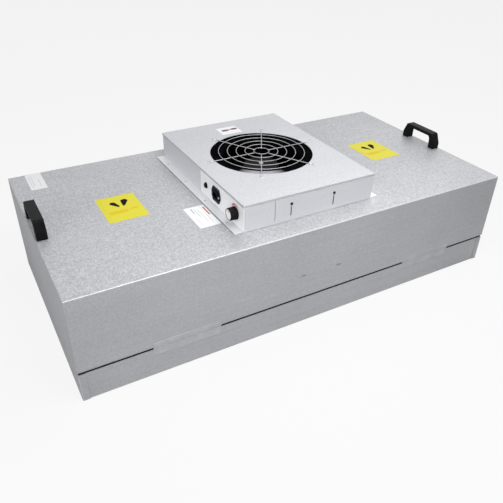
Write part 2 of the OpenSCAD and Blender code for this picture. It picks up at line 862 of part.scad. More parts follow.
// Outer bell of the motor, with the flange that carries the impeller
module motor_rotor() {
    color(black_plastic) at_fan() rotate_extrude($fn = round_fn) {
        difference() {
            union() {
                translate([0, rotor_low_z]) square([rotor_d / 2 - rotor_crown_r, rotor_h]);
                translate([0, rotor_low_z]) square([rotor_d / 2, rotor_h - rotor_crown_r]);
                translate([rotor_d / 2 - rotor_crown_r, rotor_top_z - rotor_crown_r])
                    circle(r = rotor_crown_r, $fn = small_fn);
                translate([0, rotor_low_z]) square([rotor_flange_r, rotor_flange_t]);
            }
            translate([rotor_boss_r, rotor_low_z - cut])
                square([rotor_d / 2 - rotor_wall - rotor_boss_r, rotor_h - rotor_wall + cut]);
            translate([0, rotor_low_z - cut])
                square([rotor_boss_r + cut, tube_top_z + base_gap - rotor_low_z + cut]);
            square([shaft_d / 2 + press_gap, lid_z]);
        }
    }
}

// Shaft, pressed into the bell's boss
module motor_shaft() {
    color(silver) at_fan() translate([0, 0, base_z + 2])
        cylinder(d = shaft_d, h = rotor_top_z + shaft_end - base_z - 2, $fn = small_fn);
}

// Two ball bearings in the base's tube
module motor_bearings() {
    color(steel) at_fan() for (z = [base_z + base_t, tube_top_z - bearing_w]) translate([0, 0, z])
        difference() {
        cylinder(r = tube_bore_r - press_gap, h = bearing_w, $fn = small_fn);
        translate([0, 0, -cut]) cylinder(d = shaft_d + 2 * shaft_gap, h = bearing_w + 2 * cut,
            $fn = small_fn);
    }
}

// Slotted stack of laminations round the tube
module stator_core() {
    core_r = rotor_d / 2 - rotor_wall - air_gap;
    color(steel) at_fan() translate([0, 0, core_low_z]) difference() {
        cylinder(r = core_r, h = core_h, $fn = round_fn);
        translate([0, 0, -cut]) cylinder(r = tube_r + press_gap, h = core_h + 2 * cut, $fn = small_fn);
        for (i = [0 : core_slots - 1]) rotate([0, 0, i * 360 / core_slots])
            translate([tube_r + core_yoke, -core_slot_w / 2, -cut])
                cube([core_r, core_slot_w, core_h + 2 * cut]);
    }
}

// Base plate with the bearing tube
module motor_base() {
    color(silver) at_fan() difference() {
        union() {
            translate([0, 0, base_z]) cylinder(r = base_r, h = base_t, $fn = round_fn);
            translate([0, 0, base_z]) cylinder(r = tube_r, h = tube_top_z - base_z, $fn = small_fn);
        }
        translate([0, 0, base_z - cut])
            cylinder(r = tube_bore_r, h = tube_top_z - base_z + 2 * cut, $fn = small_fn);
        motor_screw_places() translate([0, 0, base_z - cut])
            cylinder(d = motor_screw_d + 2 * fit_gap, h = base_t + 2 * cut, $fn = small_fn);
    }
}

module motor_screw_places() {
    for (angle = [45 : 90 : 315]) rotate([0, 0, angle]) translate([motor_screw_r, 0, 0]) children();
}

module bridge_bolt_places() {
    for (x = [-bolt_x, bolt_x], y = [-bolt_y, bolt_y]) translate([x, y, 0]) children();
}

// Folded bridge that hangs the motor from the casing's top
module motor_bridge() {
    color(zinc) at_fan() difference() {
        along_x(-bridge_w / 2, bridge_w) {
            translate([-bridge_leg_y, bridge_z]) square([2 * bridge_leg_y, bridge_t]);
            for (side = [0, 1]) mirror([side, 0]) {
                translate([bridge_leg_y - bridge_t, bridge_z]) square([bridge_t, bridge_top_z - bridge_z]);
                translate([bridge_leg_y - bridge_t, bridge_top_z - bridge_t])
                    square([bridge_foot_w + bridge_t, bridge_t]);
            }
        }
        motor_screw_places() translate([0, 0, bridge_z - cut])
            cylinder(d = motor_screw_d + 2 * fit_gap, h = bridge_t + 2 * cut, $fn = small_fn);
        bridge_bolt_places() translate([0, 0, bridge_top_z - bridge_t - cut])
            cylinder(d = bolt_d + 2 * screw_gap, h = bridge_t + 2 * cut, $fn = small_fn);
    }
}

// Bolts through the casing's top and the bridge's feet, each with its nut
module bridge_bolts() {
    foot_under_z = bridge_top_z - bridge_t;
    color(steel) at_fan() bridge_bolt_places() {
        translate([0, 0, body_h]) cylinder(d = bolt_head_d, h = bolt_head_h, $fn = 6);
        translate([0, 0, foot_under_z - bolt_end])
            cylinder(d = bolt_d, h = body_h - foot_under_z + bolt_end, $fn = small_fn);
        difference() {
            translate([0, 0, foot_under_z - nut_h]) cylinder(d = bolt_head_d, h = nut_h, $fn = 6);
            translate([0, 0, foot_under_z - nut_h - cut])
                cylinder(d = bolt_d + 2 * press_gap, h = nut_h + 2 * cut, $fn = small_fn);
        }
    }
}

module motor_screws() {
    color(steel) at_fan() motor_screw_places() {
        translate([0, 0, bridge_z - motor_screw_head_h])
            cylinder(d = 2 * motor_screw_d, h = motor_screw_head_h, $fn = small_fn);
        translate([0, 0, bridge_z]) cylinder(d = motor_screw_d, h = bridge_t + base_t - 1, $fn = small_fn);
    }
}

module baffle_tab_places() {
    for (side = [-1, 1]) translate([box_x + side * baffle_tab_pitch / 2, 0, 0]) children();
}

// Plate that spreads the air over the filter, held by tabs in the front and back walls
module air_baffle() {
    baffle_half_d = wrap_inner_y - fit_gap;
    tab_half_d = half_d - fit_gap;
    color(zinc) {
        slab([box_x - baffle_w / 2, -baffle_half_d, baffle_z], [baffle_w, 2 * baffle_half_d, sheet_t]);
        for (x = [box_x - baffle_w / 2, box_x + baffle_w / 2 - sheet_t])
            slab([x, -baffle_half_d, baffle_z - baffle_fold_h],
                [sheet_t, 2 * baffle_half_d, baffle_fold_h + sheet_t]);
        baffle_tab_places() slab([-tab_w / 2, -tab_half_d, baffle_z], [tab_w, 2 * tab_half_d, sheet_t]);
    }
}

// Sound lining glued under the casing's top on both sides of the blower
module foam_pad(x_start, x_end) {
    color(rubber_black) slab([x_start, -wrap_inner_y + foam_edge, body_h - sheet_t - foam_t],
                             [x_end - x_start, 2 * (wrap_inner_y - foam_edge), foam_t]);
}

module foam_left() {
    foam_pad(-half_w + foam_end, box_x - well_d / 2 - foam_edge);
}

module foam_right() {
    foam_pad(box_x + well_d / 2 + foam_edge, half_w - foam_end);
}

// ---------- controls ----------

module inlet_screw_places() {
    for (side = [-1, 1]) translate([0, inlet_y + side * socket_hole_pitch / 2, axis_z]) children();
}

// White plate over the window in the left wall
module control_plate() {
    color(white_paint) difference() {
        plate_outline(0, plate_x, control_t);
        rod_out(plate_x + control_t + cut, knob_y, axis_z, pot_bush_d + 2 * fit_gap, control_t + 2 * cut);
        rod_out(plate_x + control_t + cut, fuse_y, axis_z, fuse_body_d + 2 * fit_gap, control_t + 2 * cut);
        slab([plate_x - cut, inlet_y - socket_body_w / 2 - fit_gap, axis_z - socket_body_h / 2 - fit_gap],
             [control_t + 2 * cut, socket_body_w + 2 * fit_gap, socket_body_h + 2 * fit_gap]);
        inlet_screw_places() rod_out(plate_x + control_t + cut, 0, 0, socket_screw_d + 2 * fit_gap,
            control_t + 2 * cut);
    }
}

// Panel fuse holder: a collar in front of the plate and a barrel behind it
module fuse_holder() {
    color(black_plastic) difference() {
        union() {
            rod_out(plate_x, fuse_y, axis_z, fuse_collar_d, fuse_collar_t);
            rod_out(plate_x + fuse_len, fuse_y, axis_z, fuse_body_d, fuse_len);
        }
        rod_out(plate_x + fuse_len - 2, fuse_y, axis_z, fuse_bore_d, fuse_len + fuse_collar_t);
    }
}

// Turning cap with a screwdriver slot, whose stem carries the fuse
module fuse_cap() {
    cap_x = plate_x - fuse_collar_t - cap_lift;
    color(black_plastic) difference() {
        union() {
            rod_out(cap_x, fuse_y, axis_z, fuse_body_d, cap_h);
            rod_out(cap_x + stem_len, fuse_y, axis_z, fuse_bore_d - 2 * fuse_gap, stem_len + 1);
        }
        slab([cap_x - cap_h - cut, fuse_y - fuse_body_d, axis_z - cap_slot_w / 2],
             [cap_slot_h + cut, 2 * fuse_body_d, cap_slot_w]);
        rod_out(cap_x + stem_len + cut, fuse_y, axis_z, link_d + 2 * press_gap, stem_bore + cut);
    }
}

module fuse_link() {
    link_x = plate_x - fuse_collar_t - cap_lift + stem_len - stem_bore;
    color(silver) rod_out(link_x + link_len, fuse_y, axis_z, link_d, link_len);
}

// Outline of the inlet's flange, drawn in Y and Z round its middle
module socket_flange_outline() {
    end_y = socket_len / 2;
    shoulder_y = collar_w / 2 + 1;
    end_z = socket_end_h / 2;
    top_z = socket_h / 2;
    polygon([[-end_y, -end_z], [-shoulder_y, -top_z], [shoulder_y, -top_z], [end_y, -end_z],
             [end_y, end_z], [shoulder_y, top_z], [-shoulder_y, top_z], [-end_y, end_z]]);
}

// Mouth of the inlet: two upper corners are cut
module socket_mouth_outline() {
    half_y = mouth_w / 2;
    half_z = mouth_h / 2;
    polygon([[-half_y, -half_z], [half_y, -half_z], [half_y, half_z - mouth_cut],
        [half_y - mouth_cut, half_z],
             [-half_y + mouth_cut, half_z], [-half_y, half_z - mouth_cut]]);
}

module centred_slab(x_start, depth, w, h) {
    translate([x_start, inlet_y - w / 2, axis_z - h / 2]) cube([depth, w, h]);
}

// Three-pin mains inlet
module mains_inlet() {
    mouth_x = plate_x - socket_flange_t - collar_t;
    color(black_plastic) difference() {
        union() {
            translate([0, inlet_y, axis_z]) along_x(plate_x - socket_flange_t, socket_flange_t)
                socket_flange_outline();
            centred_slab(mouth_x, collar_t + socket_flange_t, collar_w, collar_h);
            centred_slab(plate_x - 1, mouth_depth + 3 - socket_flange_t - collar_t + 1, socket_body_w,
                socket_body_h);
        }
        translate([0, inlet_y, axis_z]) along_x(mouth_x - cut, mouth_depth + cut) socket_mouth_outline();
        inlet_screw_places() rod_out(plate_x + cut, 0, 0, socket_screw_d + 2 * fit_gap,
            socket_flange_t + 2 * cut);
        pin_places(press_gap) cube([mouth_depth * 2, pin_t + 2 * press_gap, pin_w + 2 * press_gap]);
    }
}

// Places of the pins' low corners: the middle one stands higher
module pin_places(gap) {
    for (i = [-1 : 1])
        translate([plate_x - socket_flange_t - collar_t + mouth_depth - pin_len,
                   inlet_y + i * pin_pitch - pin_t / 2 - gap,
                   axis_z - pin_w / 2 - gap + (i == 0 ? pin_rise : -pin_rise)])
            children();
}

module inlet_pins() {
    color(brass_yellow) pin_places(0) cube([pin_len + pin_tail, pin_t, pin_w]);
}

module inlet_screws() {
    color(silver) inlet_screw_places() {
        rod_out(plate_x - socket_flange_t, 0, 0, 2 * socket_screw_d, socket_screw_head_h);
        rod_out(plate_x + control_t + 2, 0, 0, socket_screw_d, control_t + 2 + socket_flange_t);
    }
}

// Fluted knob, hollow at its base over the nut
module speed_knob() {
    base_x = plate_x - knob_lift;
    color(black_plastic) difference() {
        rod_out(base_x, knob_y, axis_z, knob_d, knob_len - knob_lift, round_fn);
        rod_out(base_x + cut, knob_y, axis_z, knob_recess_d, knob_recess_h + cut);
        rod_out(base_x, knob_y, axis_z, pot_shaft_d + 2 * press_gap, pot_shaft_out);
        rod_out(plate_x - knob_len + knob_cap_t, knob_y, axis_z, knob_cap_d + 2 * press_gap,
            knob_cap_t + cut);
        for (i = [0 : knob_flutes - 1]) {
            angle = i * 360 / knob_flutes;
            rod_out(base_x - knob_skirt_h, knob_y + knob_d / 2 * cos(angle), axis_z + knob_d / 2 * sin(angle),
                    knob_flute_d, knob_len, 16);
        }
    }
}

// Bright disc let into the knob's face, with its pointer groove
module knob_cap() {
    color(silver) difference() {
        rod_out(plate_x - knob_len + knob_cap_t, knob_y, axis_z, knob_cap_d, knob_cap_t);
        slab([plate_x - knob_len - cut, knob_y - pointer_w / 2, axis_z + knob_cap_d / 4],
             [cut + knob_cap_t / 2, pointer_w, knob_cap_d]);
    }
}

module pot_shaft() {
    color(silver) rod_out(plate_x + control_t + pot_shaft_in, knob_y, axis_z, pot_shaft_d,
                          control_t + pot_shaft_in + pot_shaft_out);
}

// Speed regulator behind the plate, with its threaded bush through it
module pot_body() {
    color(steel) difference() {
        union() {
            rod_out(plate_x + control_t + pot_depth, knob_y, axis_z, pot_d, pot_depth);
            rod_out(plate_x + control_t + 1, knob_y, axis_z, pot_bush_d, control_t + 1 + pot_bush_out);
        }
        rod_out(plate_x + control_t + pot_shaft_in + 0.3, knob_y, axis_z, pot_shaft_d + 2 * shaft_gap,
            knob_len * 2);
    }
}

module pot_nut() {
    color(silver) difference() {
        rod_out(plate_x, knob_y, axis_z, pot_nut_d, pot_nut_h, 6);
        rod_out(plate_x + cut, knob_y, axis_z, pot_bush_d + 2 * press_gap, pot_nut_h + 2 * cut);
    }
}

module board_corner_places() {
    for (x = [board_x + 4, board_x + board_w - 4], y = [board_y + 4, board_y + board_d - 4])
        translate([x, y, body_h]) children();
}

// Speed regulator's circuit board with its terminal block, heat sink and capacitor
module control_board() {
    top_z = body_h + post_h + board_t;
    color(board_green) {
        slab([board_x, board_y, body_h + post_h], [board_w, board_d, board_t]);
        slab([board_x + 12, board_y + 1, top_z], [board_w - 24, 9, 10]);
        slab([board_x + 8, board_y + 24, top_z], [3, 12, 16]);
        slab([board_x + 8, board_y + 24, top_z], [20, 3, 16]);
        translate([board_x + board_w - 14, board_y + 27, top_z]) cylinder(d = 10, h = 14, $fn = small_fn);
    }
}

module board_posts() {
    color(brass_yellow) board_corner_places() cylinder(d = 5, h = post_h, $fn = small_fn);
}

// Motor's run capacitor, lying behind the front wall
module run_capacitor() {
    color(silver) translate([capacitor_x, capacitor_y, body_h + capacitor_d / 2]) rotate([0, 90, 0])
        cylinder(d = capacitor_d, h = capacitor_len, $fn = small_fn);
}

module capacitor_clamp() {
    inner_r = capacitor_d / 2 + fit_gap;
    outer_r = inner_r + 1;
    color(zinc) translate([0, capacitor_y, body_h])
        along_x(capacitor_x + capacitor_len / 2 - clamp_w / 2, clamp_w) {
            intersection() {
                translate([0, capacitor_d / 2]) difference() {
                    circle(r = outer_r, $fn = small_fn);
                    circle(r = inner_r, $fn = small_fn);
                }
                translate([-outer_r, capacitor_d / 2]) square([2 * outer_r, outer_r]);
            }
            for (side = [0, 1]) mirror([side, 0]) {
                translate([inner_r, 0]) square([1, capacitor_d / 2]);
                translate([inner_r, 0]) square([clamp_foot, 1]);
            }
        }
}

// ---------- handles ----------

module handle_screw_places() {
    for (side = [-1, 1]) translate([handle_x, side * handle_screw_y - handle_shift, 0]) children();
}

// Side view of a bridge handle, drawn in Y and Z from its seat
module handle_outline() {
    foot_y = handle_len / 2;
    inner_foot_y = foot_y - handle_foot_len;
    top_y = foot_y - handle_shoulder;
    difference() {
        polygon([[-foot_y, 0], [foot_y, 0], [foot_y, handle_shoulder_z], [top_y, handle_h],
                 [-top_y, handle_h], [-foot_y, handle_shoulder_z]]);
        polygon([[-inner_foot_y, -cut], [inner_foot_y, -cut],
            [inner_foot_y - handle_lean, handle_h - handle_grip_t],
                 [-inner_foot_y + handle_lean, handle_h - handle_grip_t]]);
    }
}

module handle() {
    difference() {
        translate([0, -handle_shift, body_h]) along_x(handle_x - handle_w / 2, handle_w) handle_outline();
        handle_screw_places() translate([0, 0, body_h - cut])
            cylinder(d = handle_screw_d + 2 * screw_gap, h = handle_hole_depth + cut, $fn = small_fn);
    }
}

module handle_left() {
    color(black_plastic) rotate([0, 0, 180]) handle();
}

module handle_right() {
    color(black_plastic) handle();
}

module handle_screws() {
    head_z = panel_top_z - sheet_t;
    color(steel) both_ends() handle_screw_places() {
        translate([0, 0, head_z - handle_screw_head_h])
            cylinder(d = 1.7 * handle_screw_d, h = handle_screw_head_h, $fn = small_fn);
        translate([0, 0, head_z]) cylinder(d = handle_screw_d,
            h = body_h + handle_hole_depth - 1 - head_z, $fn = small_fn);
    }
}

// ---------- tape and stickers ----------

// Foil tape that crosses the seam from the wrap to the filter's frame
module foil_tape(x_middle) {
    top_z = filter_h + tape_h / 2;
    low_z = filter_h - tape_h / 2;
    color(silver) along_x(x_middle - tape_len / 2, tape_len)
        polygon([[-half_d - tape_t, top_z], [-half_d, top_z], [-half_d, seam_z], [-rail_out_y, filter_h],
                 [-rail_out_y, low_z], [-rail_out_y - tape_t, low_z],
                 [-rail_out_y - tape_t, filter_h], [-half_d - tape_t, seam_z]]);
}

module foil_tape_left() {
    foil_tape(box_x - tape_pitch / 2);
}

module foil_tape_right() {
    foil_tape(box_x + tape_pitch / 2);
}

module sticker(middle, size, z, paint) {
    color(paint) slab([middle[0] - size[0] / 2, middle[1] - size[1] / 2, z], [size[0], size[1], sticker_t]);
}

module sticker_yellow_left() {
    sticker([box_x - yellow_pitch / 2, box_y], yellow_size, body_h, sticker_yellow);
}

module sticker_yellow_right() {
    sticker([box_x + yellow_pitch / 2, box_y], yellow_size, body_h, sticker_yellow);
}

module sticker_white_front() {
    sticker([box_left - foot_flange_w - front_sticker_gap - front_sticker_size[0] / 2,
        box_front + front_sticker_y], front_sticker_size,
            body_h, white_paint);
}

module sticker_white_back() {
    sticker([-half_w + back_sticker_from_end,
        half_d - fold_r - back_sticker_size[1] / 2 - back_sticker_gap], back_sticker_size, body_h, white_paint);
}

module sticker_lid() {
    sticker([box_x - lid_sticker_shift, box_y + box_d / 2 - lid_sticker_from_back], lid_sticker_size,
        lid_z, white_paint);
}

casing_wrap();
end_panel_left();
end_panel_right();
seal_angle_left();
seal_angle_right();
filter_rail_front();
filter_rail_back();
filter_rail_left();
filter_rail_right();
filter_clips();
filter_gasket();
potting();
media_pack();
media_beads();
face_guard();
fan_box_walls();
fan_box_lid();
access_cover();
cover_screws();
inlet_ring();
finger_guard();
guard_screws();
impeller();
motor_rotor();
motor_shaft();
motor_bearings();
stator_core();
motor_base();
motor_bridge();
bridge_bolts();
motor_screws();
air_baffle();
foam_left();
foam_right();
control_plate();
fuse_holder();
fuse_cap();
fuse_link();
mains_inlet();
inlet_pins();
inlet_screws();
speed_knob();
knob_cap();
pot_shaft();
pot_body();
pot_nut();
control_board();
board_posts();
run_capacitor();
capacitor_clamp();
handle_left();
handle_right();
handle_screws();
foil_tape_left();
foil_tape_right();
sticker_yellow_left();
sticker_yellow_right();
sticker_white_front();
sticker_white_back();
sticker_lid();
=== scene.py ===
"""Looks of the fan filter unit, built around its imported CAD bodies."""

import math

import bmesh
import bpy
from mathutils import Matrix, Vector


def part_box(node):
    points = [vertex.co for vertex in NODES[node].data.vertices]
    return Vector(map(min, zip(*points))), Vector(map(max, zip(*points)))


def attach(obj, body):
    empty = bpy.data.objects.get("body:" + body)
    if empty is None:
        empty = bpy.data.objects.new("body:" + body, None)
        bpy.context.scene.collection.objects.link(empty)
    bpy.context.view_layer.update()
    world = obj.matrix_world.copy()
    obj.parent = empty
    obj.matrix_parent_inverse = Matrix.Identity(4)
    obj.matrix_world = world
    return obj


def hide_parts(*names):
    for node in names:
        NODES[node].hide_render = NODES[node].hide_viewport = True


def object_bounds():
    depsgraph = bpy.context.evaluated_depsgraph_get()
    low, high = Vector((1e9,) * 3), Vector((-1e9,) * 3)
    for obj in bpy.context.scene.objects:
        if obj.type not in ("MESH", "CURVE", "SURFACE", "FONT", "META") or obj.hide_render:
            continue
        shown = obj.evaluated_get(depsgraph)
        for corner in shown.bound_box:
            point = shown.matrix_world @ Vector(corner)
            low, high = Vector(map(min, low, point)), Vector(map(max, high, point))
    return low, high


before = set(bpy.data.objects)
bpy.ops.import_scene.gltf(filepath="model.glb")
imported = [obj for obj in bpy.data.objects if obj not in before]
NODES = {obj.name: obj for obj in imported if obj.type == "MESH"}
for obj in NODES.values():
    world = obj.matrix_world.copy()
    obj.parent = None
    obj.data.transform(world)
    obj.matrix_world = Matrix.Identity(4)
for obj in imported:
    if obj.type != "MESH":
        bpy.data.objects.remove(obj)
cad_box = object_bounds()
HOUSING = "housing"
MM = 0.001

# ---------------------------------------------------------------- helpers


def span(node):
    """Lowest and highest corner of a CAD node, as vectors in metres."""
    low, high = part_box(node)
    return Vector(low), Vector(high)


def new_object(name, bm, mats, smooth=True):
    """Object from a bmesh, with its materials in order."""
    mesh = bpy.data.meshes.new(name)
    bm.to_mesh(mesh)
    bm.free()
    obj = bpy.data.objects.new(name, mesh)
    bpy.context.scene.collection.objects.link(obj)
    for mat in mats:
        mesh.materials.append(mat)
    for poly in mesh.polygons:
        poly.use_smooth = smooth
    return obj


def bake(obj, kind, settings):
    """Adds a modifier and applies it."""
    mod = obj.modifiers.new(kind.title(), kind)
    for key, value in settings.items():
        setattr(mod, key, value)
    graph = bpy.context.evaluated_depsgraph_get()
    mesh = bpy.data.meshes.new_from_object(obj.evaluated_get(graph))
    old = obj.data
    obj.modifiers.clear()
    obj.data = mesh
    bpy.data.meshes.remove(old)


def add_prism(bm, outline, axis, start, end, mat=0):
    """Closed prism from a 2-D outline.

    axis is the missing coordinate: 0 takes (y, z), 1 takes (x, z), 2 takes (x, y).
    """
    def point(pair, level):
        co = list(pair)
        co.insert(axis, level)
        return co
    low = [bm.verts.new(point(p, start)) for p in outline]
    high = [bm.verts.new(point(p, end)) for p in outline]
    faces = [bm.faces.new(low), bm.faces.new(high)]
    for i in range(len(outline)):
        j = (i + 1) % len(outline)
        faces.append(bm.faces.new([low[i], low[j], high[j], high[i]]))
    for face in faces:
        face.material_index = mat


def skin(bm, loops):
    """Joins each round loop of vertices to the next one with quads."""
    for a, b in zip(loops, loops[1:]):
        for i in range(len(a)):
            j = (i + 1) % len(a)
            bm.faces.new([a[i], a[j], b[j], b[i]])


def circle(cx, cy, r, steps):
    """Points evenly spaced on a circle."""
    return [(cx + r * math.cos(2 * math.pi * i / steps),
             cy + r * math.sin(2 * math.pi * i / steps)) for i in range(steps)]


def bar(x0, y0, x1, y1):
    """Outline of a rectangle."""
    return [(x0, y0), (x1, y0), (x1, y1), (x0, y1)]


def rounded(x0, y0, x1, y1, r, steps=6):
    """Outline of a rectangle with round corners."""
    corners = ((x1 - r, y1 - r, 0), (x0 + r, y1 - r, 90),
               (x0 + r, y0 + r, 180), (x1 - r, y0 + r, 270))
    points = []
    for cx, cy, start in corners:
        for i in range(steps + 1):
            a = math.radians(start + 90 * i / steps)
            points.append((cx + r * math.cos(a), cy + r * math.sin(a)))
    return points


def teardrop(x0, y0, r0, x1, y1, r1, steps=14):
    """Outline round two circles, the second one smaller."""
    along = math.atan2(y1 - y0, x1 - x0)
    open_angle = math.acos((r0 - r1) / math.hypot(x1 - x0, y1 - y0))
    points = []
    for i in range(steps + 1):
        a = along + open_angle + (2 * math.pi - 2 * open_angle) * i / steps
        points.append((x0 + r0 * math.cos(a), y0 + r0 * math.sin(a)))
    for i in range(steps + 1):
        a = along - open_angle + 2 * open_angle * i / steps
        points.append((x1 + r1 * math.cos(a), y1 + r1 * math.sin(a)))
    return points


def fix_normals(bm):
    """Turns every face of the closed forms outward."""
    bmesh.ops.recalc_face_normals(bm, faces=bm.faces[:])


def finish_piece(obj, body, slot, *nodes):
    """Rides on a body and stands for CAD nodes; slot is not used."""
    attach(obj, body)
    if nodes:
        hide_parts(*nodes)


# ---------------------------------------------------------------- materials


class Shader:
    """Small builder of node materials in object space."""

    def __init__(self, name, color, metallic=0.0, rough=0.5, **sockets):
        self.mat = bpy.data.materials.new(name)
        self.mat.use_nodes = True
        self.tree = self.mat.node_tree
        self.bsdf = self.tree.nodes["Principled BSDF"]
        self.set(self.bsdf, "Base Color", (*color, 1.0))
        self.set(self.bsdf, "Metallic", metallic)
        self.set(self.bsdf, "Roughness", rough)
        for key, value in sockets.items():
            self.set(self.bsdf, key.replace("_", " "), value)
        self.mat.diffuse_color = (*color, 1.0)
        self.coords = self.node("ShaderNodeTexCoord").outputs["Object"]

    def node(self, kind, **props):
        made = self.tree.nodes.new(kind)
        for key, value in props.items():
            setattr(made, key, value)
        return made

    def set(self, node, socket, value):
        node.inputs[socket].default_value = value

    def link(self, out, into):
        self.tree.links.new(out, into)

    def feed(self, value, socket):
        """Links a socket's value, or sets a number or a colour."""
        if hasattr(value, "is_linked"):
            self.link(value, socket)
        elif hasattr(value, "__len__"):
            socket.default_value = (*value, 1.0)
        else:
            socket.default_value = value

    def split(self, out):
        """X, Y and Z of a vector."""
        node = self.node("ShaderNodeSeparateXYZ")
        self.link(out, node.inputs[0])
        return node.outputs

    def normal(self):
        """X, Y and Z of the surface normal in object space."""
        return self.split(self.node("ShaderNodeTexCoord").outputs["Normal"])

    def scaled(self, scale):
        """Object coordinates times a vector, for stretched textures."""
        mapping = self.node("ShaderNodeMapping")
        self.set(mapping, "Scale", scale)
        self.link(self.coords, mapping.inputs["Vector"])
        return mapping.outputs["Vector"]

    def noise(self, scale, detail=3.0, rough=0.5, vector=None):
        tex = self.node("ShaderNodeTexNoise")
        self.set(tex, "Scale", scale)
        self.set(tex, "Detail", detail)
        self.set(tex, "Roughness", rough)
        self.link(vector or self.coords, tex.inputs["Vector"])
        return tex.outputs["Fac"]

    def voronoi(self, scale, output="Color", feature="F1", vector=None):
        tex = self.node("ShaderNodeTexVoronoi", feature=feature)
        self.set(tex, "Scale", scale)
        self.link(vector or self.coords, tex.inputs["Vector"])
        return tex.outputs[output]

    def ramp(self, fac, *stops):
        """stops are (position, value or colour)."""
        node = self.node("ShaderNodeValToRGB")
        elements = node.color_ramp.elements
        for element, (place, value) in zip(elements, stops):
            element.position = place
            color = value if hasattr(value, "__len__") else (value, value, value)
            element.color = (*color, 1.0)
        self.link(fac, node.inputs["Fac"])
        return node.outputs["Color"]

    def mix(self, fac, a, b):
        node = self.node("ShaderNodeMix", data_type="RGBA")
        for value, socket in ((fac, node.inputs[0]), (a, node.inputs[6]), (b, node.inputs[7])):
            self.feed(value, socket)
        return node.outputs[2]

    def math(self, op, a, b=0.0, c=0.0):
        node = self.node("ShaderNodeMath", operation=op)
        for value, socket in zip((a, b, c), node.inputs):
            self.feed(value, socket)
        return node.outputs[0]

    def varied(self, out, share):
        """A 0..1 pattern as a swing of plus or minus half of share."""
        return self.math("MULTIPLY", self.math("SUBTRACT", out, 0.5), share)

    def bump(self, height, distance, strength=1.0):
        node = self.node("ShaderNodeBump")
        self.set(node, "Distance", distance)
        self.set(node, "Strength", strength)
        self.link(height, node.inputs["Height"])
        self.link(node.outputs["Normal"], self.bsdf.inputs["Normal"])

    def color(self, out):
        self.link(out, self.bsdf.inputs["Base Color"])

    def rough(self, out):
        self.link(out, self.bsdf.inputs["Roughness"])


SHEET_LOW = (0.225, 0.227, 0.238)
SHEET_HIGH = (0.715, 0.72, 0.745)
# colour of the painted highlight on the bends of the sheet
BEND_HIGHLIGHT = (0.97, 0.975, 0.98)
# painted light: colour that level faces are lifted towards, as if lit from above
PAINTED_TOP_LIGHT = (0.93, 0.935, 0.95)
# light grey painted on the front of the bell's lip: a painted highlight
HIGHLIGHT_PAINT = (0.37, 0.365, 0.39)
HIGHLIGHT_WAY = (-0.49, -0.872)  # from the inlet's centre to the middle of the painted highlight


def zinc_sheet(name, low, high, grain, metallic, rough,
               flat=0.45, upright=0.2, bend_highlight=0.7, foot=0.0):
    """Galvanised sheet: spangle of 2 to 4 mm, faint clouds and rolling streaks, painted
    highlights on the bends.

    flat and upright are the spangle's contrast on level and on upright faces, bend_highlight is
    how bright the painted highlight on the bends is, and foot paints level faces lighter, as
    painted light from above.
    """
    s = Shader(name, high, metallic, rough)
    turned = s.normal()
    squares = [s.math("MULTIPLY", turned[k], turned[k]) for k in range(3)]
    spread = s.math("MULTIPLY_ADD", squares[2], flat - upright, upright)
    spangle = s.voronoi(grain)
    fine = s.noise(grain * 1.3, 2.0, 0.8)
    clouds = s.noise(4.0, 3.0)
    streak = s.noise(1.0, 2.0, vector=s.scaled((3.0, 160.0, 160.0)))
    cells = s.math("SUBTRACT", s.ramp(spangle, (0.0, 0.0), (1.0, 1.0)), 0.5)
    specks = s.math("ADD", cells, s.varied(fine, 1.1))
    level = s.math("ADD", s.math("MULTIPLY", specks, spread), 0.5)
    level = s.math("ADD", level, s.varied(clouds, 0.22))
    level = s.math("ADD", level, s.varied(streak, 0.14))
    sheet = s.ramp(level, (0.0, low), (1.0, high))
    # painted light: level faces lightened by foot, standing in for light from above on the fan
    # box's foot flanges
    sheet = s.mix(s.math("MULTIPLY", squares[2], foot), sheet, PAINTED_TOP_LIGHT)
    # painted highlight: bends, where no face points straight along an axis, take a lighter
    # colour
    largest = s.math("MAXIMUM", s.math("MAXIMUM", squares[0], squares[1]), squares[2])
    bend = s.math("MULTIPLY", s.math("SUBTRACT", 0.97, largest), 2.6)
    bend = s.math("MAXIMUM", s.math("MINIMUM", bend, 1.0), 0.0)
    s.color(s.mix(s.math("MULTIPLY", bend, bend_highlight), sheet, BEND_HIGHLIGHT))
    s.rough(s.ramp(level, (0.0, rough + 0.07), (1.0, rough - 0.07)))
    s.bump(s.math("ADD", s.math("MULTIPLY", fine, 0.6), clouds), 0.0003, 0.3)
    return s.mat


def plastic(name, color, rough, grain=900.0, sheen=0.3):
    """Moulded plastic or enamel with a fine grain and faint handling marks."""
    s = Shader(name, color, 0.0, rough, Specular_IOR_Level=sheen)
    marks = s.noise(45.0, 4.0, 0.65)
    lighter = tuple(c * 1.6 + 0.004 for c in color)
    s.color(s.ramp(marks, (0.35, color), (0.8, lighter)))
    s.rough(s.ramp(marks, (0.3, rough - 0.06), (0.75, rough + 0.10)))
    s.bump(s.noise(grain, 2.0), 0.00004, 0.6)
    return s.mat


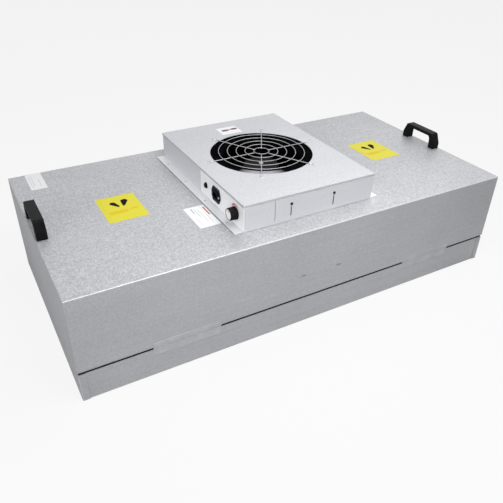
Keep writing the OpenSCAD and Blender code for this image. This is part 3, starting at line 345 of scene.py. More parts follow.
def bell_paint(name, color):
    """Matt black paint on the bell mouth, with a light grey painted highlight on the front of
    its lip.
    """
    s = Shader(name, color, 0.0, 0.5, Specular_IOR_Level=0.0)
    place, turned = s.split(s.coords), s.normal()
    low, high = span("inlet_ring")
    away = [s.math("SUBTRACT", place[k], (low[k] + high[k]) / 2) for k in range(2)]
    reach = s.math("SQRT", s.math("ADD", *(s.math("MULTIPLY", d, d) for d in away)))
    ahead = s.math("ADD", *(s.math("MULTIPLY", d, way) for d, way in zip(away, HIGHLIGHT_WAY)))
    front = s.ramp(s.math("DIVIDE", ahead, reach), (0.89, 0.0), (0.985, 1.0))
    # painted highlight: the up-facing front of the lip takes the light grey colour
    pale = s.math("MULTIPLY", front, s.ramp(turned[2], (0.48, 0.0), (0.66, 1.0)))
    marks = s.noise(60.0, 3.0)
    lighter = tuple(c * 1.5 + 0.002 for c in color)
    s.color(s.mix(pale, s.ramp(marks, (0.35, color), (0.8, lighter)), HIGHLIGHT_PAINT))
    s.rough(s.ramp(marks, (0.3, 0.42), (0.75, 0.56)))
    s.bump(s.noise(500.0, 2.0), 0.00002, 0.4)
    return s.mat


def metal(name, color, rough, scale=250.0, brush=(1.0, 1.0, 1.0)):
    """Bright metal with a fine grain; a long side of brush packs the grain tighter along it."""
    s = Shader(name, color, 1.0, rough)
    grain = s.noise(scale, 4.0, vector=s.scaled(brush))
    dull = s.noise(30.0, 3.0)
    darker = tuple(c * 0.88 for c in color)
    s.color(s.ramp(s.mix(0.5, grain, dull), (0.3, darker), (0.7, color)))
    s.rough(s.ramp(grain, (0.3, max(0.04, rough - 0.07)), (0.7, rough + 0.09)))
    s.bump(grain, 0.00003, 0.5)
    return s.mat


def printed(name, color, rough, fibre=0.04, sheen=0.5):
    """Printed film, paper or a smooth coating: even colour with faint mottling."""
    s = Shader(name, color, 0.0, rough, Specular_IOR_Level=sheen)
    mottle = s.noise(160.0, 4.0, 0.6)
    darker = tuple(c * (1.0 - fibre) for c in color)
    s.color(s.ramp(mottle, (0.3, darker), (0.7, color)))
    s.bump(mottle, 0.00004, 0.4)
    return s.mat


def foil_material():
    """Aluminium tape: crinkles across it, a dull rolled face and small painted glints."""
    s = Shader("foil_tape", (0.60, 0.61, 0.62), 0.85, 0.42)
    crease = s.voronoi(1.0, "Distance", "DISTANCE_TO_EDGE", s.scaled((55.0, 200.0, 120.0)))
    small = s.noise(260.0, 3.0, 0.6)
    slow = s.noise(30.0, 3.0)
    # painted highlight: small light specks in the colour standing in for glints
    painted_glints = s.ramp(s.noise(620.0, 2.0, 0.7), (0.60, 0.0), (0.72, 1.0))
    dull, clean = (0.46, 0.465, 0.475), (0.66, 0.665, 0.675)
    face = s.ramp(s.mix(0.5, slow, small), (0.3, dull), (0.75, clean))
    s.color(s.mix(painted_glints, face, (0.88, 0.88, 0.90)))
    s.rough(s.ramp(slow, (0.3, 0.34), (0.7, 0.5)))
    folds = s.math("MULTIPLY", s.ramp(crease, (0.0, 0.0), (0.25, 1.0)), 0.5)
    s.bump(s.math("ADD", folds, small), 0.0006, 0.5)
    return s.mat


def paper_material():
    """Pleated glass-fibre paper."""
    s = Shader("filter_paper", (0.86, 0.86, 0.84), 0.0, 0.9)
    fibres = s.noise(500.0, 4.0, 0.7)
    slow = s.noise(9.0, 3.0)
    dim, clean = (0.76, 0.76, 0.73), (0.88, 0.88, 0.86)
    s.color(s.ramp(s.mix(0.5, fibres, slow), (0.3, dim), (0.7, clean)))
    s.bump(fibres, 0.0002, 0.6)
    return s.mat


def sponge_material(name, color, cells, depth):
    """Open or closed cell sponge, its pores painted darker and their rims lighter: painted
    shade and light.
    """
    s = Shader(name, color, 0.0, 0.95)
    pores = s.voronoi(cells, "Distance")
    # painted shade in the pore hollows and painted light on their rims
    deep, raised = tuple(c * 0.4 for c in color), tuple(c * 1.5 for c in color)
    s.color(s.ramp(pores, (0.1, deep), (0.6, raised)))
    s.bump(pores, depth, 0.8)
    return s.mat


MATS = {
    "zinc": zinc_sheet("galvanised_sheet", SHEET_LOW, SHEET_HIGH, grain=360.0, metallic=0.35,
                       rough=0.48, flat=0.5, upright=0.2, bend_highlight=0.25),
    # fan box walls and cover: a lighter copy of the galvanised sheet, partly a brighter sheet
    # and partly painted light for the light these walls catch from the front and from the
    # casing's top
    "zinc_box_painted_light": zinc_sheet("galvanised_box_painted_light", (0.567, 0.585, 0.612), (0.786, 0.8, 0.827),
                           grain=420.0, metallic=0.30, rough=0.45, flat=0.4, upright=0.2,
                           bend_highlight=0.5, foot=0.6),
    "zinc_lid": zinc_sheet("galvanised_lid", (0.398, 0.402, 0.427), (0.698, 0.703, 0.732),
                           grain=420.0, metallic=0.30, rough=0.48, flat=0.35, upright=0.3),
    "zinc_inside": zinc_sheet("galvanised_inside", SHEET_LOW, (0.6, 0.61, 0.63), grain=360.0,
                              metallic=0.5, rough=0.5, flat=0.45, upright=0.45, bend_highlight=0.3),
    "rail": zinc_sheet("galvanised_rail", SHEET_LOW, SHEET_HIGH, grain=360.0, metallic=0.38,
                       rough=0.46),
    "steel": metal("spring_steel", (0.60, 0.61, 0.63), 0.30, 500.0),
    "gasket": sponge_material("gasket_rubber", (0.004, 0.004, 0.004), 900.0, 0.0004),
    "sealant": printed("sealant", (0.78, 0.77, 0.72), 0.45, 0.1),
    "paper": paper_material(),
    "white_wire": printed("white_coating", (0.80, 0.81, 0.81), 0.38, 0.05),
    "white_plate": printed("white_plate", (0.92, 0.93, 0.945), 0.42),
    "dark_screw": metal("dark_screw", (0.05, 0.05, 0.05), 0.35, 600.0),
    "bell": bell_paint("bell_paint", (0.002, 0.002, 0.0025)),
    "guard": zinc_sheet("guard_wire", (0.345, 0.345, 0.355), (0.455, 0.455, 0.465),
                        grain=700.0, metallic=0.55, rough=0.42, flat=0.3, upright=0.3,
                        bend_highlight=0.0),
    # lighter copy of the guard wire for its ends over the lid: a painted reflection of the lid
    "guard_painted_reflection": zinc_sheet("guard_painted_reflection", (0.66, 0.665, 0.69), (0.84, 0.845, 0.87),
                            grain=700.0, metallic=0.3, rough=0.42, flat=0.3, upright=0.3,
                            bend_highlight=0.0),
    "black": plastic("black_plastic", (0.0022, 0.0022, 0.0028), 0.42, sheen=0.09),
    "impeller": plastic("impeller_plastic", (0.002, 0.002, 0.0025), 0.5, 500.0, 0.04),
    "motor": plastic("motor_enamel", (0.0026, 0.0026, 0.0033), 0.35, 700.0, 0.04),
    "bright": metal("bright_steel", (0.75, 0.76, 0.78), 0.20, 400.0),
    "cap": metal("knob_cap", (0.80, 0.81, 0.82), 0.30, 700.0),
    "core": metal("laminations", (0.22, 0.22, 0.24), 0.45, 60.0, (1.0, 1.0, 40.0)),
    "cast": metal("cast_aluminium", (0.66, 0.67, 0.68), 0.42, 220.0),
    "foam": sponge_material("sound_foam", (0.03, 0.03, 0.032), 380.0, 0.0012),
    "brass": metal("brass", (0.72, 0.52, 0.22), 0.25, 500.0),
    "board": printed("circuit_board", (0.03, 0.16, 0.06), 0.35, 0.2),
    "foil": foil_material(),
    "yellow": printed("yellow_film", (0.70, 0.635, 0.008), 0.40, 0.03),
    "paper_label": printed("white_label", (0.86, 0.86, 0.87), 0.5, 0.03),
    "ink_black": printed("ink_black", (0.006, 0.005, 0.004), 0.6, 0.2, 0.05),
    # near-black strips for the shade along the foot flanges' edges: painted shadow
    "shade_strip": printed("painted_edge_shadow", (0.10, 0.10, 0.11), 0.7, 0.2, 0.1),
    "ink_ochre": printed("ink_ochre", (0.74, 0.56, 0.015), 0.45, 0.10, 0.2),
    "ink_plum": printed("ink_plum", (0.12, 0.045, 0.06), 0.5, 0.1),
    "ink_grey": printed("ink_grey", (0.42, 0.43, 0.45), 0.5, 0.08),
    "ink_red": printed("ink_red", (0.62, 0.06, 0.05), 0.45, 0.06),
}

NODE_MATERIALS = {
    "zinc": ("casing_wrap", "end_panel_left", "end_panel_right"),
    "zinc_box_painted_light": ("fan_box_walls", "access_cover"),
    "zinc_lid": ("fan_box_lid",),
    "zinc_inside": ("seal_angle_left", "seal_angle_right", "motor_bridge", "air_baffle",
                    "capacitor_clamp"),
    "rail": ("filter_rail_front", "filter_rail_back", "filter_rail_left", "filter_rail_right"),
    "steel": ("filter_clips", "bridge_bolts", "motor_screws", "guard_screws", "handle_screws",
              "inlet_screws"),
    "gasket": ("filter_gasket",),
    "sealant": ("potting", "media_beads"),
    "paper": ("media_pack",),
    "white_wire": ("face_guard",),
    "white_plate": ("control_plate",),
    "dark_screw": ("cover_screws",),
    "bell": ("inlet_ring",),
    "guard": ("finger_guard",),
    "black": ("handle_left", "handle_right", "fuse_holder", "fuse_cap", "mains_inlet",
              "speed_knob"),
    "impeller": ("impeller",),
    "motor": ("motor_rotor",),
    "bright": ("motor_shaft", "motor_bearings", "pot_shaft", "pot_body", "pot_nut", "fuse_link",
               "run_capacitor"),
    "cap": ("knob_cap",),
    "core": ("stator_core",),
    "cast": ("motor_base",),
    "foam": ("foam_left", "foam_right"),
    "brass": ("inlet_pins", "board_posts"),
    "board": ("control_board",),
    "foil": ("foil_tape_left", "foil_tape_right"),
    "yellow": ("sticker_yellow_left", "sticker_yellow_right"),
    "paper_label": ("sticker_white_front", "sticker_white_back", "sticker_lid"),
}
for key, names in NODE_MATERIALS.items():
    for name in names:
        slots = NODES[name].data.materials
        if len(slots) == 0:
            slots.append(MATS[key])
        for i in range(len(slots)):
            slots[i] = MATS[key]

# ---------------------------------------------------------------- camera

CAMERA_PLACE = Vector((-0.7149, -1.2121, 0.9538))
CAMERA_RIGHT = Vector((0.87243, -0.48839, 0.01871))
CAMERA_DOWN = Vector((-0.25452, -0.48668, -0.83568))
CAMERA_FORWARD = Vector((0.41724, 0.72431, -0.5489))
FOCAL_PX = 557.5
FRAME_PX = 503.0
SENSOR_MM = 36.0
NEAREST, FARTHEST = 0.05, 60.0

cam_data = bpy.data.cameras.new("camera")
cam_data.sensor_width = SENSOR_MM
cam_data.lens = FOCAL_PX * SENSOR_MM / FRAME_PX
cam_data.clip_start = NEAREST
cam_data.clip_end = FARTHEST
camera = bpy.data.objects.new("camera", cam_data)
bpy.context.scene.collection.objects.link(camera)
turn = Matrix((CAMERA_RIGHT, -CAMERA_DOWN, -CAMERA_FORWARD)).transposed().to_4x4()
camera.matrix_world = Matrix.Translation(CAMERA_PLACE) @ turn
bpy.context.scene.camera = camera

# ---------------------------------------------------------------- stage and light

FLOOR_HALF = 12.0
FLOOR_GAP = 0.0004
FLOOR_BOUNCE = 0.60  # how much of the light the floor throws back at the object
FLOOR_SEEN = 0.08  # how much of a shadow it shows
FLOOR_GLOW = 0.87
ROOM_LIGHT = 0.24
ROOM_TINTS = ((0.0, (0.70, 0.72, 0.76)), (0.9, (1.0, 1.0, 1.0)))  # from the horizon up
BACKDROP = (0.955, 0.955, 0.96)
LAMPS = (  # name, place, aim, size, watts
    ("overhead", (-0.03, -0.76, 1.36), (-0.04, -0.2, 0.27), (0.9, 0.7), 14.6),
    ("right", (1.1, 0.4, 2.2), (0.3, 0.0, 0.27), (1.6, 1.6), 15.8),
    ("back", (1.6, 2.7, 1.75), (0.0, 0.0, 0.3), (3.2, 0.35), 1.4),
    ("front", (-2.3, -1.9, 0.85), (-0.45, 0.0, 0.2), (1.6, 1.2), 21.0),
    ("left", (-3.0, -0.2, 1.5), (0.0, 0.0, 0.2), (2.2, 1.6), 17.0),
)


def area_light(name, place, aim, size, power):
    """Rectangular lamp that faces aim."""
    data = bpy.data.lights.new(name, "AREA")
    data.shape = "RECTANGLE"
    data.size, data.size_y = size
    data.energy = power
    lamp = bpy.data.objects.new(name, data)
    bpy.context.scene.collection.objects.link(lamp)
    lamp.location = place
    lamp.rotation_euler = (Vector(aim) - Vector(place)).to_track_quat("-Z", "Y").to_euler()


def floor_material():
    """Pale floor: it lights the object from below and looks like white paper with a shadow."""
    mat = bpy.data.materials.new("floor")
    mat.use_nodes = True
    tree = mat.node_tree
    tree.nodes.clear()
    new, link = tree.nodes.new, tree.links.new

    def diffuse(level):
        node = new("ShaderNodeBsdfDiffuse")
        node.inputs["Color"].default_value = (level, level, level, 1.0)
        return node.outputs[0]

    glow = new("ShaderNodeEmission")
    glow.inputs["Strength"].default_value = FLOOR_GLOW
    paper = new("ShaderNodeAddShader")
    link(diffuse(FLOOR_SEEN), paper.inputs[0])
    link(glow.outputs[0], paper.inputs[1])
    either = new("ShaderNodeMixShader")
    link(new("ShaderNodeLightPath").outputs["Is Camera Ray"], either.inputs["Fac"])
    link(diffuse(FLOOR_BOUNCE), either.inputs[1])
    link(paper.outputs[0], either.inputs[2])
    link(either.outputs[0], new("ShaderNodeOutputMaterial").inputs["Surface"])
    return mat


def build_world():
    """White where it is seen or mirrored, and a dimmer room as the light on matt faces."""
    world = bpy.data.worlds.new("studio")
    bpy.context.scene.world = world
    world.use_nodes = True
    tree = world.node_tree
    tree.nodes.clear()
    new, link = tree.nodes.new, tree.links.new

    room, white = new("ShaderNodeBackground"), new("ShaderNodeBackground")
    room.inputs["Strength"].default_value = ROOM_LIGHT
    white.inputs["Color"].default_value = (*BACKDROP, 1.0)
    white.inputs["Strength"].default_value = 1.0
    way, tint = new("ShaderNodeSeparateXYZ"), new("ShaderNodeValToRGB")
    for element, (place, color) in zip(tint.color_ramp.elements, ROOM_TINTS):
        element.position = place
        element.color = (*color, 1.0)
    link(new("ShaderNodeTexCoord").outputs["Generated"], way.inputs[0])
    link(way.outputs["Z"], tint.inputs["Fac"])
    link(tint.outputs["Color"], room.inputs["Color"])

    path = new("ShaderNodeLightPath")
    share = path.outputs["Is Camera Ray"]
    for ray in ("Is Glossy Ray", "Is Transmission Ray"):
        either_ray = new("ShaderNodeMath")
        either_ray.operation = "MAXIMUM"
        link(share, either_ray.inputs[0])
        link(path.outputs[ray], either_ray.inputs[1])
        share = either_ray.outputs[0]
    either = new("ShaderNodeMixShader")
    link(share, either.inputs["Fac"])
    link(room.outputs[0], either.inputs[1])
    link(white.outputs[0], either.inputs[2])
    link(either.outputs[0], new("ShaderNodeOutputWorld").inputs["Surface"])


bm = bmesh.new()
bmesh.ops.create_grid(bm, x_segments=1, y_segments=1, size=FLOOR_HALF)
floor = new_object("floor", bm, [floor_material()], smooth=False)
floor.location.z = cad_box[0][2] - FLOOR_GAP

build_world()
for lamp in LAMPS:
    area_light(*lamp)
bpy.context.scene.view_settings.view_transform = "Standard"

# ---------------------------------------------------------------- pieces


def bell_mouth():
    """Spun bell mouth: its lip starts nearly flat under the lid and turns into the throat."""
    low, high = span("inlet_ring")
    centre = (low + high) / 2
    flange, sheet = 11 * MM, 1.6 * MM
    deep, wide = 9 * MM, 34 * MM
    steps, around = 18, 144
    inlet_r = (high.x - low.x) / 2 - flange
    throat_r = inlet_r - wide
    turns = [math.pi / 2 * i / steps for i in range(steps + 1)]
    # (radius, height) round the sheet's section, first the air side, then the hidden side
    profile = [(inlet_r + flange, high.z)]
    profile += [(inlet_r - wide * math.sin(t), high.z - deep * (1 - math.cos(t)))
                for t in turns]
    profile += [(throat_r, low.z), (throat_r + sheet, low.z)]
    profile += [(inlet_r - (wide - sheet) * math.sin(t),
                 high.z - sheet - (deep - sheet) * (1 - math.cos(t))) for t in turns[::-1]]
    profile += [(inlet_r + flange, high.z - sheet)]
    bm = bmesh.new()
    loops = [[bm.verts.new((x, y, z)) for x, y in circle(centre.x, centre.y, r, around)]
             for r, z in profile]
    skin(bm, loops + loops[:1])
    fix_normals(bm)
    bell = new_object("bell_mouth", bm, [MATS["bell"]])
    finish_piece(bell, HOUSING, "black_plastic", "inlet_ring")


def foot_rivets():
    """Pop rivets that hold the fan box's foot flanges to the casing."""
    low, high = span("fan_box_walls")
    flange_sheet, from_edge = 1.2 * MM, 10 * MM
    head_r, head_h, steps = 3.0 * MM, 1.1 * MM, 20
    shares = (0.12, 0.37, 0.62, 0.87)  # places along the flange
    head = ((1.0, 0.0), (0.95, 0.5), (0.75, 0.85), (0.45, 1.0), (0.42, 0.7))  # radius, height
    top = low.z + flange_sheet
    bm = bmesh.new()
    for x in (low.x + from_edge, high.x - from_edge):
        for k in shares:
            y = low.y + (high.y - low.y) * k
            loops = [[bm.verts.new((px, py, top + head_h * rise))
                      for px, py in circle(x, y, head_r * share, steps)]
                     for share, rise in head]
            skin(bm, loops)
            bm.faces.new(loops[0][::-1])
            bm.faces.new(loops[-1])
    fix_normals(bm)
    rivets = new_object("foot_rivets", bm, [MATS["steel"]])
    finish_piece(rivets, HOUSING, "galvanised_sheet")


def foot_edge_shadows():
    """Painted shadow: thin dark strips on the casing along the outer edges of the fan box's
    foot flanges, where the flanges' edges cast shade.
    """
    low, high = span("fan_box_walls")
    line_w, line_h, sunk, from_end = 1.2 * MM, 0.25 * MM, 0.02 * MM, 6 * MM
    bm = bmesh.new()
    for x in (low.x - 1.3 * MM, high.x + 0.1 * MM):
        outline = bar(x, low.y + from_end, x + line_w, high.y - from_end)
        add_prism(bm, outline, 2, low.z - sunk, low.z + line_h)
    fix_normals(bm)
    shadow_lines = new_object("foot_edge_shadows", bm, [MATS["shade_strip"]], smooth=False)
    finish_piece(shadow_lines, HOUSING, "galvanised_sheet")


def guard_wires():
    """Round wires of the finger guard, welded where they cross, with flattened eyelets."""
    low, high = span("finger_guard")
    centre = (low + high) / 2
    base = low.z
    screw_r = 0.157  # radius on which the guard's screws lie
    reflection_r = 0.1445  # beyond it the wires lie on the lid and take a lighter copy of their colour: a painted reflection of the lid
    spoke_r, spoke_start, spoke_end, spoke_steps = 1.2 * MM, 0.0195, screw_r - 0.003, 20
    ring_r, ring_count, ring_first, ring_pitch, ring_steps = 0.9 * MM, 5, 21, 24, 120
    weld = 0.4 * MM  # depth to which rings sink into spokes
    hole_r, eyelet_r, eyelet_steps = 2.3 * MM, 5.0 * MM, 32
    eyelet_span = (0.3 * MM, 2.2 * MM)
    bm = bmesh.new()

    def wire(points, radius, closed, sides=12):
        count = len(points)
        rings = []
        for i, p in enumerate(points):
            if closed:
                ahead, behind = points[(i + 1) % count], points[i - 1]
            else:
                ahead, behind = points[min(i + 1, count - 1)], points[max(i - 1, 0)]
            along = (ahead - behind).normalized()
            side = along.cross(Vector((0, 0, 1))).normalized()
            up = side.cross(along)
            rings.append([bm.verts.new(p + radius * (math.cos(2 * math.pi * k / sides) * side
                                                     + math.sin(2 * math.pi * k / sides) * up))
                          for k in range(sides)])
        skin(bm, rings + rings[:1] if closed else rings)
        if not closed:
            bm.faces.new(rings[0][::-1])
            bm.faces.new(rings[-1])

    spoke_ways = [Vector((math.cos(a), math.sin(a), 0))
                  for a in (math.radians(60 * k) for k in range(6))]
    for way in spoke_ways:
        points = [centre + way * (spoke_start + (spoke_end - spoke_start) * i / spoke_steps)
                  for i in range(spoke_steps + 1)]
        for p in points:
            p.z = base + spoke_r
        wire(points, spoke_r, False)
    ring_z = base + 2 * spoke_r + ring_r - weld
    for i in range(ring_count):
        r = (ring_first + ring_pitch * i) * MM
        wire([Vector((x, y, ring_z)) for x, y in circle(centre.x, centre.y, r, ring_steps)],
             ring_r, True)
    for way in spoke_ways:
        spot = centre + way * screw_r
        # each list holds the lower circle, then the upper one
        inner, outer = ([bm.verts.new((x, y, base + h)) for h in eyelet_span
                         for x, y in circle(spot.x, spot.y, r, eyelet_steps)]
                        for r in (hole_r, eyelet_r))
        for n in range(eyelet_steps):
            m = (n + 1) % eyelet_steps
            n_up, m_up = eyelet_steps + n, eyelet_steps + m
            bm.faces.new([inner[n], inner[m], inner[m_up], inner[n_up]])
            bm.faces.new([outer[n], outer[n_up], outer[m_up], outer[m]])
            bm.faces.new([inner[n_up], inner[m_up], outer[m_up], outer[n_up]])
            bm.faces.new([inner[n], outer[n], outer[m], inner[m]])
    fix_normals(bm)
    # painted reflection: wire faces over the lid take the lighter copy
    for face in bm.faces:
        place = face.calc_center_median()
        if math.hypot(place.x - centre.x, place.y - centre.y) > reflection_r:
            face.material_index = 1
    guard = new_object("guard_wires", bm, [MATS["guard"], MATS["guard_painted_reflection"]])
    finish_piece(guard, HOUSING, "guard_wire", "finger_guard")


def bridge_handle(name, node):
    """Moulded bridge handle: broad feet, sloping shoulders, rounded edges."""
    low, high = span(node)
    mid_x, mid_y = (low.x + high.x) / 2, (low.y + high.y) / 2
    half_w, half = (high.x - low.x) / 2, (high.y - low.y) / 2
    edge_r, sharpest = 0.0016, math.radians(30)
    # outer and inner outline in (y, z) of one half, from the foot up to the grip
    outer = [(half, 0), (half, 0.018), (half - 0.002, 0.022), (half - 0.0115, 0.0435),
             (half - 0.015, 0.046)]
    inner = [(half - 0.0203, 0), (half - 0.0210, 0.020), (half - 0.0222, 0.031),
             (half - 0.0262, 0.036)]
    outline = ([(-y, z) for y, z in outer] + [(y, z) for y, z in reversed(outer)]
               + inner + [(-y, z) for y, z in reversed(inner)])
    bm = bmesh.new()
    left, right = ([bm.verts.new((x, mid_y + y, low.z + z)) for y, z in outline]
                   for x in (mid_x - half_w, mid_x + half_w))
    skin(bm, [left, right])
    # side walls as strips between the outer and the inner outline
    n_out, n_in = len(outer), len(inner)
    for side in (left, right):
        a_out = side[:n_out]
        b_out = side[n_out:2 * n_out]
        b_in = side[2 * n_out:2 * n_out + n_in]
        a_in = side[2 * n_out + n_in:][::-1]
        for outs, ins in ((a_out, a_in), (b_out[::-1], b_in)):
            for i in range(n_in - 1):
                bm.faces.new([outs[i], outs[i + 1], ins[i + 1], ins[i]])
            bm.faces.new([outs[n_in - 1], outs[n_in], ins[n_in - 1]])
        bm.faces.new([a_out[-1], b_out[0], b_in[-1], a_in[-1]])
    fix_normals(bm)
    handle = new_object(name, bm, [MATS["black"]])
    bake(handle, "BEVEL", {"width": edge_r, "segments": 3, "limit_method": "ANGLE",
                           "angle_limit": sharpest, "harden_normals": True})
    finish_piece(handle, HOUSING, "black_plastic", node)


def foil_tape(name, node, seed):
    """Wrinkled foil tape that steps over the seam and is pressed into it unevenly."""
    low, high = span(node)
    across, along = 26, 120
    seam_top, seam_low = 0.082, 0.076
    press_z, press_w, press_deep = 0.0805, 0.004, 0.55 * MM
    step, clear = 1.8 * MM, 0.02 * MM  # from the casing's face back to the rail's, and a hair
    jag_deep, jag_below = 0.5 * MM, 0.6  # ragged edges, and how ragged the lower one is
    bm = bmesh.new()
    grid = []
    for i in range(along + 1):
        column = []
        u = i / along
        x = low.x + (high.x - low.x) * u
        for j in range(across + 1):
            v = j / across
            z = low.z + (high.z - low.z) * v
            y = low.y
            if z < seam_low:
                y = low.y + step
            elif z < seam_top:
                y = low.y + step * (seam_top - z) / (seam_top - seam_low)
            wave = (0.5 + 0.25 * math.sin(u * 61 + seed + 3 * v)
                    + 0.25 * math.sin(u * 23 - seed * 2 + 7 * v))
            press = math.exp(-((z - press_z) / press_w) ** 2)
            y += clear + press_deep * press * wave
            jag = abs(jag_deep * math.sin(u * 37 + seed))
            if j == across:
                z = min(high.z, z - jag)
            elif j == 0:
                z = max(low.z, z + jag * jag_below)
            column.append(bm.verts.new((x, y, z)))
        grid.append(column)
    for a, b in zip(grid, grid[1:]):
        for j in range(across):
            bm.faces.new([a[j], b[j], b[j + 1], a[j + 1]])
    tape = new_object(name, bm, [MATS["foil"]])
    bake(tape, "SOLIDIFY", {"thickness": 0.12 * MM, "offset": -1.0})
    finish_piece(tape, HOUSING, "foil", node)


def sticker(name, node, base_mat, slot, prints):
    """Film with round corners and printed areas a hair above it.

    prints are (material, outline in millimetres from the film's middle).
    """
    low, high = span(node)
    mid = (low + high) / 2
    corner_r, print_top, print_deep = 2.2 * MM, 0.02 * MM, 0.03 * MM
    bm = bmesh.new()
    mats = [MATS[base_mat]]
    film = rounded(low.x, low.y, high.x, high.y, corner_r)
    add_prism(bm, film, 2, low.z, high.z - print_top)
    for key, outline in prints:
        if MATS[key] not in mats:
            mats.append(MATS[key])
        points = [(mid.x + x * MM, mid.y + y * MM) for x, y in outline]
        add_prism(bm, points, 2, high.z - print_deep, high.z, mats.index(MATS[key]))
    fix_normals(bm)
    label = new_object(name, bm, mats, smooth=False)
    finish_piece(label, HOUSING, slot, node)


def speed_knob():
    """Fluted knob with a soft skirt and rounded crown, its bright cap and a pointer line."""
    low, high = span("speed_knob")
    cap_low, _ = span("knob_cap")
    cy, cz = (low.y + high.y) / 2, (low.z + high.z) / 2
    length, radius = high.x - low.x, (high.y - low.y) / 2
    flutes, per_flute, flute_deep = 24, 8, 0.9 * MM
    cap_r, cap_steps = radius * 0.79, 96
    rim_w = 2.2 * MM
    pointer_half, pointer_span = 0.9 * MM, (cap_r * 0.45, cap_r * 0.86)

    # (share of the length from the back, share of the radius, share of the flute's depth)
    rings = [(0.0, 0.965, 0.0), (0.02, 0.995, 0.0), (0.18, 1.0, 0.0), (0.24, 0.985, 0.0),
             (0.27, 0.955, 1.0), (0.9, 0.925, 1.0), (0.95, 0.91, 0.8), (0.985, 0.885, 0.3),
             (1.0, 0.85, 0.0), (1.0, 0.80, 0.0), (0.955, 0.79, 0.0)]
    bm = bmesh.new()
    loops = []
    count = flutes * per_flute
    for share, r_share, depth in rings:
        loop = []
        for i in range(count):
            a = 2 * math.pi * i / count
            cut = 0.5 + 0.5 * math.cos(a * flutes)
            r = radius * r_share - depth * flute_deep * (1 - cut) ** 1.5
            loop.append(bm.verts.new((high.x - length * share, cy + r * math.cos(a),
                                      cz + r * math.sin(a))))
        loops.append(loop)
    skin(bm, loops)
    bm.faces.new(loops[0])
    bm.faces.new(loops[-1])
    fix_normals(bm)
    knob = new_object("knob_body", bm, [MATS["black"]])
    finish_piece(knob, "knob", "black_plastic", "speed_knob")

    # (radius, depth in millimetres): rim, step, then a shallow dish
    profile = [(cap_r, 1.3), (cap_r, 0.55), (cap_r - 0.5 * MM, 0.25), (cap_r - 1.6 * MM, 0.18),
               (cap_r - rim_w, 0.42)]
    profile += [((cap_r - rim_w) * (1 - k / 8.4), 0.42 + 0.25 * math.sin(k * 0.35))
                for k in range(1, 9)]
    bm = bmesh.new()
    loops = [[bm.verts.new((cap_low.x + depth * MM, y, z))
              for y, z in circle(cy, cz, r, cap_steps)] for r, depth in profile]
    skin(bm, loops)
    bm.faces.new(loops[-1])
    bm.faces.new(loops[0])
    fix_normals(bm)
    cap = new_object("knob_face", bm, [MATS["cap"]])
    finish_piece(cap, "knob", "cast_aluminium", "knob_cap")

    bm = bmesh.new()
    outline = bar(cy - pointer_half, cz + pointer_span[0], cy + pointer_half,
                  cz + pointer_span[1])
    add_prism(bm, outline, 0, cap_low.x + 0.12 * MM, cap_low.x + 0.9 * MM)
    fix_normals(bm)
    mark = new_object("knob_pointer", bm, [MATS["ink_red"]], smooth=False)
    finish_piece(mark, "knob", "black_plastic")


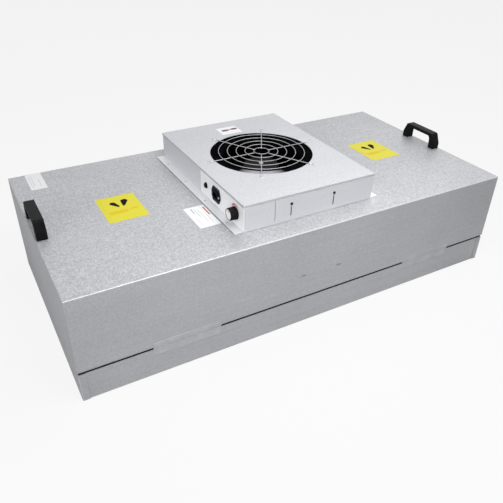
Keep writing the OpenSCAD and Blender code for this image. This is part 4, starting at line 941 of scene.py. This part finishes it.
def dial_scale():
    """Plain tick marks and a red wedge printed round the knob on the control plate."""
    low, high = span("speed_knob")
    face = span("control_plate")[0].x
    centre = Vector(((low.y + high.y) / 2, (low.z + high.z) / 2))
    sunk = 0.03 * MM
    ticks, first_deg, apart_deg, long_every = 11, 225, 27, 5
    tick_start, tick_short, tick_long, tick_half = 18.2, 20.2, 21.5, 0.35  # millimetres
    wedge_deg, wedge_turn, wedge_steps = 150, 115, 24
    wedge_inner, wedge_outer, wedge_grows = 18.4, 19.0, 5.0  # millimetres
    bm = bmesh.new()
    for i in range(ticks):
        a = math.radians(first_deg - apart_deg * i)
        out = Vector((math.cos(a), math.sin(a)))
        across = Vector((-math.sin(a), math.cos(a))) * tick_half * MM
        r0, r1 = tick_start * MM, (tick_long if i % long_every == 0 else tick_short) * MM
        points = [centre + out * r0 - across, centre + out * r0 + across,
                  centre + out * r1 + across, centre + out * r1 - across]
        add_prism(bm, [tuple(p) for p in points], 0, face - sunk, face + 0.05 * MM)
    fix_normals(bm)
    marks = new_object("dial_marks", bm, [MATS["ink_grey"]], smooth=False)
    finish_piece(marks, HOUSING, "black_plastic")

    bm = bmesh.new()
    # (angle, radius) along the widening outer edge and back along the inner one
    edge = [(wedge_deg - wedge_turn * i / wedge_steps,
             wedge_outer + wedge_grows * i / wedge_steps) for i in range(wedge_steps + 1)]
    edge += [(wedge_deg - wedge_turn + wedge_turn * i / wedge_steps, wedge_inner)
             for i in range(wedge_steps + 1)]
    outline = [(centre.x + r * MM * math.cos(math.radians(deg)),
                centre.y + r * MM * math.sin(math.radians(deg))) for deg, r in edge]
    add_prism(bm, outline, 0, face - sunk, face + 0.06 * MM)
    fix_normals(bm)
    wedge = new_object("dial_wedge", bm, [MATS["ink_red"]], smooth=False)
    finish_piece(wedge, HOUSING, "black_plastic")


# Prints of the stickers, in millimetres from the middle of each.
YELLOW_PRINTS = (
    ("ink_black", teardrop(-15, 27, 7.5, -5, 8, 3.0)),
    ("ink_black", teardrop(16, 31, 9.0, 9, 9, 3.0)),
    ("ink_ochre", bar(-36, -28, 10, -13)),
    ("ink_ochre", bar(16, -20, 38, -12)),
    ("ink_ochre", bar(-42, -56, -41, 52)),
)
FRONT_PRINTS = (
    ("ink_red", bar(20, 0, 23.5, 42)),
    ("ink_grey", bar(-12, 18, -9, 44)),
    ("ink_grey", bar(-4, -2, -2.6, 40)),
    ("ink_grey", bar(4, -30, 5, 36)),
    ("ink_grey", bar(-16, -38, -15, -6)),
    ("ink_grey", bar(14, -40, 15, 2)),
)
BACK_PRINTS = (
    ("ink_grey", bar(-14, -38, -13.2, 34)),
    ("ink_grey", bar(-8, -30, -7.2, 38)),
    ("ink_grey", bar(8, -34, 8.8, 10)),
)
LID_PRINTS = (
    ("ink_plum", rounded(-22, -3, -1, 9, 4)),
    ("ink_plum", rounded(10, -1, 28, 11, 4)),
    ("ink_plum", bar(-3, 1.0, 12, 6.5)),
)

bell_mouth()
foot_rivets()
foot_edge_shadows()
guard_wires()
bridge_handle("grip_left", "handle_left")
bridge_handle("grip_right", "handle_right")
foil_tape("tape_left", "foil_tape_left", 0.4)
foil_tape("tape_right", "foil_tape_right", 2.1)
sticker("label_yellow_left", "sticker_yellow_left", "yellow", "yellow_label", YELLOW_PRINTS)
sticker("label_yellow_right", "sticker_yellow_right", "yellow", "yellow_label", YELLOW_PRINTS)
sticker("label_white_front", "sticker_white_front", "paper_label", "white_label", FRONT_PRINTS)
sticker("label_white_back", "sticker_white_back", "paper_label", "white_label", BACK_PRINTS)
sticker("label_lid", "sticker_lid", "paper_label", "white_label", LID_PRINTS)
speed_knob()
dial_scale()
